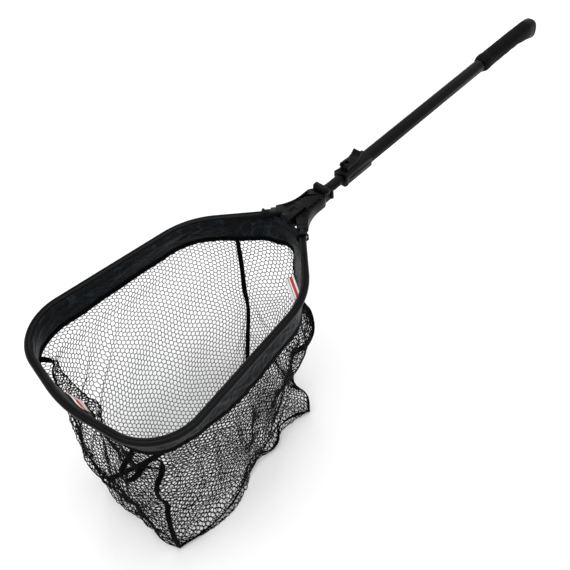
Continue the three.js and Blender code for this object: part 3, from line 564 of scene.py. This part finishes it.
def butt_rings():
    """The hard cap behind the sleeve, hooked downwards and rounded at its rear edge."""
    rear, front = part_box("butt_cap")[0][0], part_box("butt_cap")[1][0]
    rings = []
    for t in np.linspace(0, 1, 32):
        hook = BUTT_HOOK * (0.45 + 0.55 * smoothstep(t, -0.4, 1))
        edge = 3.5 * MM * smoothstep(t, 0.7, 1) ** 2 + 0.5 * MM * (1 - smoothstep(t, 0, 0.06))
        half = GRIP_HALF - edge
        rings.append(soft_square(front + (rear - front) * t, half, half - 5 * MM * t * t, -half - hook))
    return rings


def make_handle():
    grip = loft("grip_sleeve_finished", grip_rings())
    dress(grip, "handle", "grip_rubber", RUBBER, "grip_sleeve")
    cap = loft("butt_cap_finished", butt_rings())
    dress(cap, "handle", "moulded_nylon", NYLON, "butt_cap")
    refined("outer_tube", "handle", "anodised_alloy", ALLOY, 0.4 * MM)
    refined("inner_tube", "extension", "anodised_alloy", ALLOY, 0.4 * MM)
    for node in ("lock_housing", "mouth_bush"):
        refined(node, "handle", "moulded_nylon", NYLON, 0.7 * MM)
    refined("lock_lever", "lever", "moulded_nylon", NYLON, 0.8 * MM)
    refined("hinge_tongue", "extension", "moulded_nylon", NYLON, 0.6 * MM)


def make_yoke():
    refined("yoke_frame", "hoop", "moulded_nylon", NYLON, 0.8 * MM)
    refined("fold_latch", "latch", "moulded_nylon", NYLON, 0.8 * MM)
    for side in ("left", "right"):
        refined("socket_collar_" + side, "hoop", "moulded_nylon", NYLON, 0.6 * MM)


def paint_small_parts():
    """Small parts keep their CAD shape and take a finished material."""
    steel = ["butt_screw", "housing_screw_1", "housing_screw_2", "lever_pin", "lever_spring", "lock_pin",
             "tongue_rivet_1", "tongue_rivet_2", "hinge_pin", "hinge_clip", "socket_rivet_left",
             "socket_rivet_right", "latch_spring"]
    for node in steel:
        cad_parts[node].data.materials.clear()
        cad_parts[node].data.materials.append(STEEL)
    for node in ("tube_plug", "tail_bush"):
        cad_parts[node].data.materials.clear()
        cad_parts[node].data.materials.append(NYLON)


def rail_section():
    """The rail's section as (outwards, up): rounded outside, a groove along its top, a keder slot below."""
    w, h = RAIL_WIDTH / 2, RAIL_HEIGHT / 2
    outline = []
    for angle in np.linspace(-90, 90, 11):
        swing = math.radians(angle)
        outline.append((w - 5 * MM + 5 * MM * math.cos(swing), h * math.sin(swing)))
    outline += [(1.3 * MM, h), (0.5 * MM, h - 1.1 * MM), (-0.5 * MM, h - 1.1 * MM), (-1.3 * MM, h)]
    for angle in np.linspace(90, 180, 6):
        swing = math.radians(angle)
        outline.append((-w + 3 * MM + 3 * MM * math.cos(swing), h - 3 * MM + 3 * MM * math.sin(swing)))
    outline += [(-w, -h + 2 * MM), (-w + 1.4 * MM, -h), (-w + 3 * MM, -h), (-w + 3 * MM, -h + 3 * MM),
                (-w + 5.6 * MM, -h + 3 * MM), (-w + 5.6 * MM, -h), (0.5 * MM, -h)]
    return outline


def make_rail():
    rings = []
    shares = np.linspace(0, 1, 420)
    for out, up in rail_section():
        rings.append(RAIL_LINE.offset(shares, -out, up))
    rings = np.stack(rings, axis=1)
    rail = loft("hoop_rail_finished", list(rings))
    rail.data.set_sharp_from_angle(angle=math.radians(40))
    return dress(rail, "hoop", "anodised_alloy", ALLOY, "hoop_rail")


make_handle()
make_yoke()
paint_small_parts()
RAIL = make_rail()


# ------------------------------------------------------------------ fabric band, hem and labels

def give_cloth_coordinates(piece, flat):
    """Stores each vertex's place on the flat cloth, in metres, for the weave."""
    layer = piece.data.uv_layers.new(name="cloth")
    index = np.zeros(len(piece.data.loops), int)
    piece.data.loops.foreach_get("vertex_index", index)
    layer.data.foreach_set("uv", np.asarray(flat)[index].astype(np.float32).ravel())


def cloth_grid(name, grid, flat, closed, thickness):
    """A sheet from rows of points; a closed one joins its last column to its first."""
    rows, columns = grid.shape[:2]
    faces = []
    for r in range(rows - 1):
        for c in range(columns if closed else columns - 1):
            d = (c + 1) % columns
            faces.append((r * columns + c, (r + 1) * columns + c, (r + 1) * columns + d, r * columns + d))
    piece = new_object(name, grid.reshape(-1, 3), faces)
    give_cloth_coordinates(piece, flat.reshape(-1, 2))
    body = piece.modifiers.new("thickness", "SOLIDIFY")
    body.thickness = thickness
    body.offset = 0
    apply_modifiers(piece)
    outward(piece)
    piece.data.shade_smooth()
    return piece


# How far the hem hangs inwards (+) or outwards (-) of the rail, in millimetres, at shares of the cloth line.
HEM_LEANS = [(0.0, 0), (0.02, 2), (0.04, 13), (0.07, 13), (0.10, 3), (0.15, -8), (0.26, -12), (0.29, -8),
             (0.31, -1), (0.345, 9), (0.385, 6), (0.43, 4), (0.47, 6), (0.49, 20), (0.508, 24),
             (0.525, 15), (0.545, -1), (0.62, -7), (0.66, -3), (0.72, -7), (0.80, -12),
             (0.87, -14), (0.925, -5), (0.96, 0), (0.985, 6)]
COLLAR_SHARES = (0.045, 0.955)          # where the band passes behind the rail's two end collars


def hem_lean(t):
    """Inward distance of the hem from its place right below the rail, at a share of the cloth line."""
    shares, leans = zip(*HEM_LEANS)
    return np.interp(t, shares, leans, period=1) * MM


def collar_reach(t):
    """How far the band's top edge reaches out to the collars, in the corner under the yoke."""
    gaps = [abs((t - share + 0.5) % 1.0 - 0.5) for share in COLLAR_SHARES]
    return 12 * MM * float(1 - smoothstep(np.array(min(gaps)), 0.0, 0.05))


def ripple(along, down, seed):
    """Creases of the band: shallow waves, and sharp slanting ridges where it is crumpled; 0 at the rail."""
    slack = float(smoothstep(np.array(down), 0.03, 0.25))
    soft = noise.noise(Vector((along * 11, down * 0.7, seed)))
    crumpled = float(smoothstep(np.array(noise.noise(Vector((along * 7, 0.0, seed + 5)))), -0.35, 0.35))
    slant = noise.noise(Vector((along * 34 + down * 3.0, down * 1.6, seed + 7)))
    cross = noise.noise(Vector((along * 60 - down * 4.0, down * 3.0, seed + 11)))
    ridges = 4.6 * (0.3 - abs(slant)) + 2.2 * (0.25 - abs(cross))
    return slack * (2.6 * soft + ridges * (0.25 + 0.75 * crumpled)) * MM


def band_point(t, down):
    """A point of the band, t round the hoop and down from its top (0) to its hem (1)."""
    along = t * CLOTH_LINE.length
    tucked = float(1 - smoothstep(np.array(down), 0.0, 0.12))
    gather = float(1 - 0.6 * smoothstep(np.array(down), 0.8, 1.0))
    z = BAND_TOP + (BAND_BOTTOM - BAND_TOP) * down + 8.0 * MM * tucked
    z += 0.5 * MM * math.sin(along * 70) * down
    inset = BAND_INSET + 0.8 * MM + ripple(along, down, 3.0) * gather
    inset += float(hem_lean(t)) * down
    inset -= 1.4 * MM * tucked
    return CLOTH_LINE.offset(np.array(t), inset - collar_reach(t) * (1 - down), z)


def make_band():
    columns, rows = 760, 24
    shares = np.arange(columns) / columns
    downs = np.linspace(0, 1, rows)
    grid = np.array([[band_point(t, down) for t in shares] for down in downs])
    height = BAND_TOP - BAND_BOTTOM
    flat = np.array([[(t * CLOTH_LINE.length, down * height) for t in shares] for down in downs])
    band = cloth_grid("fabric_band_finished", grid, flat, True, 1.1 * MM)
    dress(band, "hoop", "band_fabric", BAND, "fabric_band")
    hem_rows = np.linspace(0, 1, 5)
    hem = []
    for down in hem_rows:
        bulge = 0.6 * MM * math.sin(math.pi * down)
        row = []
        for t in shares:
            low = band_point(t, 1.0)
            inside = CLOTH_LINE.offset(np.array(t), bulge, 0.0) - CLOTH_LINE.offset(np.array(t), 0.0, 0.0)
            drop = (BAND_BOTTOM - HEM_BOTTOM + 1.2 * MM) * down - 1.2 * MM
            row.append(low + inside - np.array([0, 0, drop]))
        hem.append(row)
    hem = np.array(hem)
    hem_flat = np.array([[(t * CLOTH_LINE.length, down * 0.01) for t in shares] for down in hem_rows])
    tape = cloth_grid("hem_tape_finished", hem, hem_flat, True, 2.2 * MM)
    dress(tape, "hoop", "binding_tape", BINDING, "hem_tape")
    return band, tape


def make_stitches():
    """Lockstitches along the top and the hem of the band, on its inner face."""
    spacing, length, radius = 4.6 * MM, 3.0 * MM, 0.35 * MM
    count = int(CLOTH_LINE.length / spacing)
    vertices, faces = [], []
    for down in (0.10, 0.16, 0.93):
        for k in range(count):
            t = k / count
            here = band_point(t, down)
            ahead = band_point(t + 0.001, down) - here
            ahead /= np.linalg.norm(ahead)
            inside = np.array([ahead[1], -ahead[0], 0.0])
            middle = here + inside * 0.75 * MM
            base = len(vertices)
            for place, swell in ((-0.5, 0.35), (-0.25, 1.0), (0.25, 1.0), (0.5, 0.35)):
                for corner in range(4):
                    angle = math.pi / 2 * corner
                    vertices.append(
                        middle + ahead * place * length
                        + inside * radius * swell * math.cos(angle)
                        + np.array([0, 0, radius * swell * math.sin(angle)]))
            for ring in range(3):
                for corner in range(4):
                    a = base + ring * 4 + corner
                    b = base + ring * 4 + (corner + 1) % 4
                    faces.append((a, b, b + 4, a + 4))
            faces.append((base, base + 3, base + 2, base + 1))
            faces.append((base + 12, base + 13, base + 14, base + 15))
    stitches = new_object("band_stitching", vertices, faces)
    outward(stitches)
    return dress(stitches, "hoop", "binding_tape", BINDING)


def lying_label(t, v):
    """A point of a label that hangs from the hem over the netting, v from its seam (0) to its free edge."""
    reach = LABEL_WIDTH * v
    inset = BAND_INSET + hem_lean(t) + 2 * MM + 0.85 * reach
    return CLOTH_LINE.offset(t, inset, HEM_BOTTOM + 13 * MM - 0.5 * reach)


def leaning_label(t, v):
    """A point of a label sewn to the inner face of the band, v from its top (0) down."""
    lift = CLOTH_LINE.offset(t, 2.6 * MM, 0.0) - CLOTH_LINE.offset(t, 0.0, 0.0)
    return band_point(float(t), 0.3 + 0.45 * v) + lift


def make_label(node, share, length, place):
    """A small woven label with a slightly wavy face."""
    rows, columns = 8, 16
    grid, flat = [], []
    for v in np.linspace(0, 1, rows):
        grid.append([])
        flat.append([])
        for u in np.linspace(0, 1, columns):
            t = np.array(share + (u - 0.5) * length / CLOTH_LINE.length)
            wave = 0.5 * MM * math.sin(9 * u + 4 * v)
            grid[-1].append(place(t, v) + np.array([0, 0, wave]))
            flat[-1].append((u * length, v * LABEL_WIDTH))
    label = cloth_grid(node + "_finished", np.array(grid), np.array(flat), False, 0.7 * MM)
    return dress(label, "hoop", "label_cloth", LABEL, node)


BAND_PIECE, HEM_PIECE = make_band()
STITCHES = make_stitches()
REAR_LABEL = make_label("rear_label", REAR_LABEL_SHARE, REAR_LABEL_LENGTH, lying_label)
FRONT_LABEL = make_label("front_label", FRONT_LABEL_SHARE, FRONT_LABEL_LENGTH, leaning_label)


# ------------------------------------------------------------------ netting bag

def spline(points, count):
    """A smooth curve through the points, in even steps of its length."""
    points = np.array(points, float)
    ends = np.vstack([2 * points[0] - points[1], points, 2 * points[-1] - points[-2]])
    dense = []
    for k in range(len(points) - 1):
        p0, p1, p2, p3 = ends[k:k + 4]
        for s in np.linspace(0, 1, 24, endpoint=False):
            dense.append(0.5 * (2 * p1 + (p2 - p0) * s + (2 * p0 - 5 * p1 + 4 * p2 - p3) * s ** 2
                                + (3 * p1 - p0 - 3 * p2 + p3) * s ** 3))
    dense.append(points[-1])
    return even_steps(np.array(dense), count)


def even_steps(curve, count):
    run = np.concatenate([[0.0], np.cumsum(np.linalg.norm(np.diff(curve, axis=0), axis=1))])
    where = np.linspace(0, run[-1], count)
    return np.stack([np.interp(where, run, curve[:, k]) for k in range(3)], axis=-1)


def from_apex(*points):
    """Points given in millimetres from the yoke's apex."""
    return [APEX + np.array(point) * MM for point in points]


# The four corners of the bag's floor, in millimetres from the apex.
CORNERS = {
    "rear_left": from_apex((190, 166, -326))[0],
    "front_left": from_apex((562, 176, -326))[0],
    "front_right": from_apex((562, -34, -326))[0],
    "rear_right": from_apex((184, -18, -326))[0],
}


def hem_point(share):
    """Where the netting starts, at the lower edge of the hem."""
    return CLOTH_LINE.offset(share, BAND_INSET + hem_lean(share), BAG_TOP)


def upright_seam(share, corner, *between):
    return spline([hem_point(np.array(share)), *from_apex(*between), CORNERS[corner]], SEAM_STEPS)


def floor_seam(start, end, *between):
    return spline([CORNERS[start], *from_apex(*between), CORNERS[end]], SEAM_STEPS)


# The way that each seam wanders between its ends.
SEAMS = {
    "rear_left": upright_seam(
        REAR_LEFT, "rear_left", (124, 128, -92), (134, 142, -128), (152, 136, -165), (168, 116, -192),
        (184, 118, -232), (192, 134, -258), (178, 152, -290)),
    "front_left": upright_seam(
        FRONT_LEFT, "front_left", (545, 132, -88), (533, 148, -106), (544, 153, -135), (553, 157, -162),
        (547, 165, -188), (556, 170, -222), (561, 173, -278)),
    "front_right": upright_seam(
        FRONT_RIGHT, "front_right", (526, -154, -68), (521, -144, -76), (534, -134, -84), (540, -122, -125),
        (541, -109, -155), (555, -76, -195), (568, -53, -225), (566, -39, -280)),
    "rear_right": upright_seam(
        REAR_RIGHT, "rear_right", (107, -77, -116), (122, -62, -162), (134, -46, -208), (160, -30, -262)),
    "left_floor": floor_seam(
        "rear_left", "front_left", (226, 156, -310), (262, 154, -306), (284, 166, -320), (308, 168, -322),
        (338, 160, -308), (362, 162, -312), (390, 176, -324), (440, 190, -324), (500, 190, -325)),
    "right_floor": floor_seam("rear_right", "front_right", (232, 4, -324), (350, 14, -326), (460, 2, -325)),
    "rear_floor": floor_seam("rear_right", "rear_left", (176, 40, -322), (194, 110, -325)),
    "front_floor": floor_seam(
        "front_right", "front_left", (576, 20, -325), (566, 90, -322), (572, 140, -326)),
}


# The near tape is longer than the netting at the front left corner and hangs there in a loop.
TAPE_LOOP = spline([
    hem_point(np.array(FRONT_LEFT)),
    *from_apex((561, 107, -88), (575, 105, -105), (579, 111, -116), (574, 119, -120), (561, 125, -114),
               (545, 127, -104), (530, 130, -95), (523, 138, -95), (521, 150, -100), (530, 153, -118),
               (543, 151, -136))], 70)


def top_edge(first, last):
    """The stretch of the hem between two shares of the cloth line."""
    return hem_point(np.linspace(first, last, SEAM_STEPS))


def patch(top, bottom, left, right, rows, columns):
    """A smooth surface that spans four edge curves."""
    top, bottom = even_steps(top, columns), even_steps(bottom, columns)
    left, right = even_steps(left, rows), even_steps(right, rows)
    u = np.linspace(0, 1, columns)[None, :, None]
    v = np.linspace(0, 1, rows)[:, None, None]
    across = (1 - v) * top[None] + v * bottom[None]
    down = (1 - u) * left[:, None] + u * right[:, None]
    corners = ((1 - u) * (1 - v) * top[0] + u * (1 - v) * top[-1]
               + (1 - u) * v * bottom[0] + u * v * bottom[-1])
    return across + down - corners


def length_of(curve):
    return float(np.linalg.norm(np.diff(curve, axis=0), axis=1).sum())


def drape(grid, slack, steps, seed):
    """Lets a panel held along its four edges fall and fold; slack is the share it is cut larger."""
    rows, columns = grid.shape[:2]
    start = grid.copy()
    for r in range(1, rows - 1):
        for c in range(1, columns - 1):
            push = noise.noise(Vector(grid[r, c] * 14) + Vector((seed, 0, 0))) * 4 * MM
            start[r, c] += np.array([0.3, 1.0, 0.4]) * push
    faces = [(r * columns + c, (r + 1) * columns + c, (r + 1) * columns + c + 1, r * columns + c + 1)
             for r in range(rows - 1) for c in range(columns - 1)]
    cloth = new_object("falling_panel", start.reshape(-1, 3), faces)
    held = cloth.vertex_groups.new(name="held")
    edge = [r * columns + c for r in range(rows) for c in range(columns)
            if r in (0, rows - 1) or c in (0, columns - 1)]
    held.add(edge, 1.0, "REPLACE")
    fall = cloth.modifiers.new("fall", "CLOTH")
    fall.settings.vertex_group_mass = "held"
    fall.settings.quality = 6
    fall.settings.mass = 0.08
    fall.settings.tension_stiffness = 12
    fall.settings.compression_stiffness = 4
    fall.settings.shear_stiffness = 3
    fall.settings.bending_stiffness = 0.02
    fall.settings.air_damping = 3
    fall.settings.shrink_min = -slack
    fall.settings.shrink_max = -slack
    fall.point_cache.frame_start = 1
    fall.point_cache.frame_end = steps
    scene = bpy.context.scene
    for step in range(1, steps + 1):
        scene.frame_set(step)
    shaped = cloth.evaluated_get(bpy.context.evaluated_depsgraph_get())
    points = np.empty(rows * columns * 3)
    shaped.data.vertices.foreach_get("co", points)
    scene.frame_set(1)
    bpy.data.objects.remove(cloth)
    points = points.reshape(rows, columns, 3)
    points[..., 2] = np.maximum(points[..., 2], FLOOR_Z + STRAND / 2)
    return points


def hump(share, middle, reach):
    """A smooth rise from 0 to 1 and back, centred on a share of a panel's side."""
    return 0.5 + 0.5 * np.cos(np.pi * np.clip((share - middle) / reach, -1, 1))


def gathered(node, grid):
    """Pushes the settled netting where it bunches against the hoop, bellies out or lies on the floor."""
    rows, columns = grid.shape[:2]
    u = np.linspace(0, 1, columns)[None]
    v = np.linspace(0, 1, rows)[:, None]
    free = np.sin(np.pi * u) ** 0.5
    shaped = grid.copy()
    if node == "front_panel":
        shaped[..., 0] -= FRONT_TUCK * hump(v, 0.07, 0.1) * hump(u, 0.68, 0.5)
        belly = free * hump(v, 0.6, 0.34) + 0.4 * hump(v, 0.76, 0.3) * hump(u, 0.36, 0.5)
        shaped[..., 0] += FRONT_BELLY * belly
    if node == "far_panel":
        for middle in PLEATS:
            shaped[..., 1] += PLEAT_DEPTH * hump(u + 0.75 * v, middle, 0.035) * hump(v, 0.5, 0.5)
    if node == "rear_panel":
        shaped[..., 0] -= REAR_BELLY * hump(u, 0.82, 0.3) * hump(v, 0.5, 0.4)
    if node == "bottom_panel":
        swell = hump(v, 0.93, 0.1)
        low = FLOOR_Z + STRAND / 2
        shaped[..., 1] += SPILL * free * swell * (0.75 + 0.25 * np.cos(9 * u))
        shaped[..., 2] = low + (shaped[..., 2] - low) * (1 - 0.85 * swell)
    return shaped


def surface_point(grid, u, v):
    """Points of a grid surface at shares u across and v down, each from 0 to 1."""
    rows, columns = grid.shape[:2]
    x = np.clip(u, 0, 1) * (columns - 1)
    y = np.clip(v, 0, 1) * (rows - 1)
    i = np.minimum(x.astype(int), columns - 2)
    j = np.minimum(y.astype(int), rows - 2)
    fx, fy = (x - i)[:, None], (y - j)[:, None]
    upper = grid[j, i] * (1 - fx) + grid[j, i + 1] * fx
    lower = grid[j + 1, i] * (1 - fx) + grid[j + 1, i + 1] * fx
    return upper * (1 - fy) + lower * fy


def hexagon_strands(top_width, bottom_width, height, turn):
    """Ends of every strand of a hexagonal net cut to a trapezium, as shares across and down."""
    side = MESH_PITCH / math.sqrt(3)
    step = MESH_PITCH / 2
    reach = math.hypot(max(top_width, bottom_width), height) / 2 + MESH_PITCH
    columns = 2 * int(reach / step) + 1
    rows = 2 * int(reach / (1.5 * side)) + 1
    i, j = np.meshgrid(np.arange(columns), np.arange(rows))
    x = (i - columns // 2) * step
    y = (j - rows // 2) * 1.5 * side + ((i + j) % 2) * side / 2
    across = x * math.cos(turn) - y * math.sin(turn)
    v = (x * math.sin(turn) + y * math.cos(turn)) / height + 0.5
    width = top_width + (bottom_width - top_width) * np.clip(v, 0, 1)
    shares = np.stack([0.5 + across / width, v], axis=-1)
    zigzag = np.stack([shares[:, :-1], shares[:, 1:]], axis=-2).reshape(-1, 2, 2)
    linked = ((i + j) % 2 == 1)[:-1]
    rungs = np.stack([shares[:-1], shares[1:]], axis=-2)[linked]
    return clipped(np.concatenate([zigzag, rungs]))


def clipped(strands):
    """Cuts strands at the edges of the panel and drops those outside it."""
    start, end = strands[:, 0], strands[:, 1]
    enter = np.zeros(len(strands))
    leave = np.ones(len(strands))
    for axis in (0, 1):
        span = end[:, axis] - start[:, axis]
        safe = np.where(np.abs(span) < 1e-9, 1e-9, span)
        near, far = (0 - start[:, axis]) / safe, (1 - start[:, axis]) / safe
        enter = np.maximum(enter, np.minimum(near, far))
        leave = np.minimum(leave, np.maximum(near, far))
    kept = leave - enter > 0.05
    start, end, enter, leave = start[kept], end[kept], enter[kept, None], leave[kept, None]
    return np.stack([start + (end - start) * enter, start + (end - start) * leave], axis=1)


def wandering(strands, seed):
    """Lets the rows of a soft net swing to and fro within its edges."""
    u, v = strands[..., 0], strands[..., 1]
    free = np.sin(np.pi * np.clip(u, 0, 1)) * np.sin(np.pi * np.clip(v, 0, 1))
    across = 0.008 * np.sin(2 * np.pi * (1.4 * u + 3.1 * v) + seed)
    down = 0.013 * np.sin(2 * np.pi * (3.1 * u + 0.6 * v) + 2 * seed)
    return np.stack([u + free * across, v + free * down], axis=-1)


def strand_mesh(name, first, last):
    """Every strand as a thin open tube."""
    along = last - first
    along /= np.linalg.norm(along, axis=1, keepdims=True) + 1e-12
    helper = np.where(np.abs(along[:, 2:3]) > 0.9, [[1.0, 0, 0]], [[0, 0, 1.0]])
    side = np.cross(along, helper)
    side /= np.linalg.norm(side, axis=1, keepdims=True)
    lift = np.cross(along, side)
    angles = 2 * np.pi * np.arange(STRAND_SIDES) / STRAND_SIDES
    ring = (side[:, None] * np.cos(angles)[None, :, None] + lift[:, None] * np.sin(angles)[None, :, None])
    ring *= STRAND / 2
    vertices = np.concatenate([first[:, None] + ring, last[:, None] + ring], axis=1).reshape(-1, 3)
    base = np.arange(len(first))[:, None] * 2 * STRAND_SIDES
    k = np.arange(STRAND_SIDES)[None]
    turn = (k + 1) % STRAND_SIDES
    faces = np.stack([base + k, base + turn, base + turn + STRAND_SIDES, base + k + STRAND_SIDES], axis=-1)
    return new_object(name, vertices, faces.reshape(-1, 4))


def make_panel(node, edges, slack, turn, seed):
    """One netting panel: its surface between the seams, let fall, then knotted into hexagons."""
    top, bottom, left, right = edges
    widths = length_of(top), length_of(bottom)
    height = (length_of(left) + length_of(right)) / 2
    rows = int(height / PANEL_STEP) + 1
    columns = int(max(widths) / PANEL_STEP) + 1
    grid = patch(top, bottom, left, right, rows, columns)
    grid = drape(grid, slack, SETTLE_FRAMES, seed)
    grid = gathered(node, grid)
    top_width, bottom_width = length_of(grid[1]), length_of(grid[-2])
    tall = float(np.mean([length_of(grid[:, c]) for c in range(1, columns - 1)]))
    strands = wandering(hexagon_strands(top_width, bottom_width, tall, turn), seed)
    first = surface_point(grid, strands[:, 0, 0], strands[:, 0, 1])
    last = surface_point(grid, strands[:, 1, 0], strands[:, 1, 1])
    panel = strand_mesh(node + "_netting", first, last)
    dress(panel, "hoop", "coated_netting", NETTING, node)
    return panel, (max(top_width, bottom_width), tall), (top_width + bottom_width) / 2 * tall


def ribbon(name, curve, outside, width, thickness):
    """A flat tape along a curve; outside is the way its face looks at a point."""
    curve = even_steps(curve, int(length_of(curve) / (3 * MM)))
    along = np.gradient(curve, axis=0)
    along /= np.linalg.norm(along, axis=1, keepdims=True)
    rings = []
    for point, way in zip(curve, along):
        face = outside(point)
        face = face - way * (face @ way)
        face /= np.linalg.norm(face)
        side = np.cross(way, face)
        twist = 0.5 * noise.noise(Vector(point * 22))
        turned = face * math.cos(twist) + side * math.sin(twist)
        side = side * math.cos(twist) - face * math.sin(twist)
        edge = 0.25
        ring = []
        for across, up in ((-1, -edge), (-1 + edge, -1), (1 - edge, -1), (1, -edge), (1, edge),
                           (1 - edge, 1), (0, 1.25), (-1 + edge, 1), (-1, edge)):
            ring.append(point + side * across * width / 2 + turned * up * thickness / 2)
        rings.append(ring)
    return loft(name, rings)


BAG_MIDDLE = APEX + np.array([370, 60, -200]) * MM


def from_middle(point):
    """The way a seam's tape faces: level and away from the bag's middle, and down at the floor."""
    away = (point - BAG_MIDDLE) * np.array([1.0, 1.0, 0.0])
    away /= np.linalg.norm(away)
    near_floor = float(1 - smoothstep(np.array(point[2]), FLOOR_Z, FLOOR_Z + 40 * MM))
    return away - np.array([0, 0, 0.6 * near_floor])


def make_bag():
    """Five netting panels and two seam tapes; each row is edges, slack, lean of the net and seed."""
    panels = {
        "near_panel": ((top_edge(REAR_LEFT, FRONT_LEFT), SEAMS["left_floor"], SEAMS["rear_left"],
                        SEAMS["front_left"]), 0.01, MESH_TURN, 1.0),
        "front_panel": ((top_edge(FRONT_LEFT, FRONT_RIGHT), SEAMS["front_floor"][::-1], SEAMS["front_left"],
                         SEAMS["front_right"]), 0.05, MESH_TURN, 2.0),
        "far_panel": ((top_edge(FRONT_RIGHT, REAR_RIGHT), SEAMS["right_floor"][::-1], SEAMS["front_right"],
                       SEAMS["rear_right"]), 0.03, -MESH_TURN, 3.0),
        "rear_panel": ((top_edge(REAR_RIGHT - 1, REAR_LEFT), SEAMS["rear_floor"], SEAMS["rear_right"],
                        SEAMS["rear_left"]), 0.03, -MESH_TURN, 4.0),
        "bottom_panel": ((SEAMS["right_floor"], SEAMS["left_floor"], SEAMS["rear_floor"],
                          SEAMS["front_floor"]), 0.05, MESH_TURN, 5.0),
    }
    pieces = []
    for node, (edges, slack, turn, seed) in panels.items():
        panel, flat, cut = make_panel(node, edges, slack, turn, seed)
        pieces.append(panel)
    below_loop = SEAMS["front_left"][SEAMS["front_left"][:, 2] < TAPE_LOOP[-1, 2]]
    near = np.vstack([SEAMS["rear_left"], SEAMS["left_floor"][1:], below_loop[::-1][1:], TAPE_LOOP[::-1]])
    far = np.vstack([SEAMS["rear_right"], SEAMS["right_floor"][1:], SEAMS["front_right"][::-1][1:]])
    for node, curve in (("near_seam_tape", near), ("far_seam_tape", far)):
        tape = ribbon(node + "_finished", curve, from_middle, TAPE_WIDTH, TAPE_THICKNESS)
        dress(tape, "hoop", "binding_tape", BINDING, node)
        pieces.append(tape)
    for piece in pieces:
        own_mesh(piece)


make_bag()
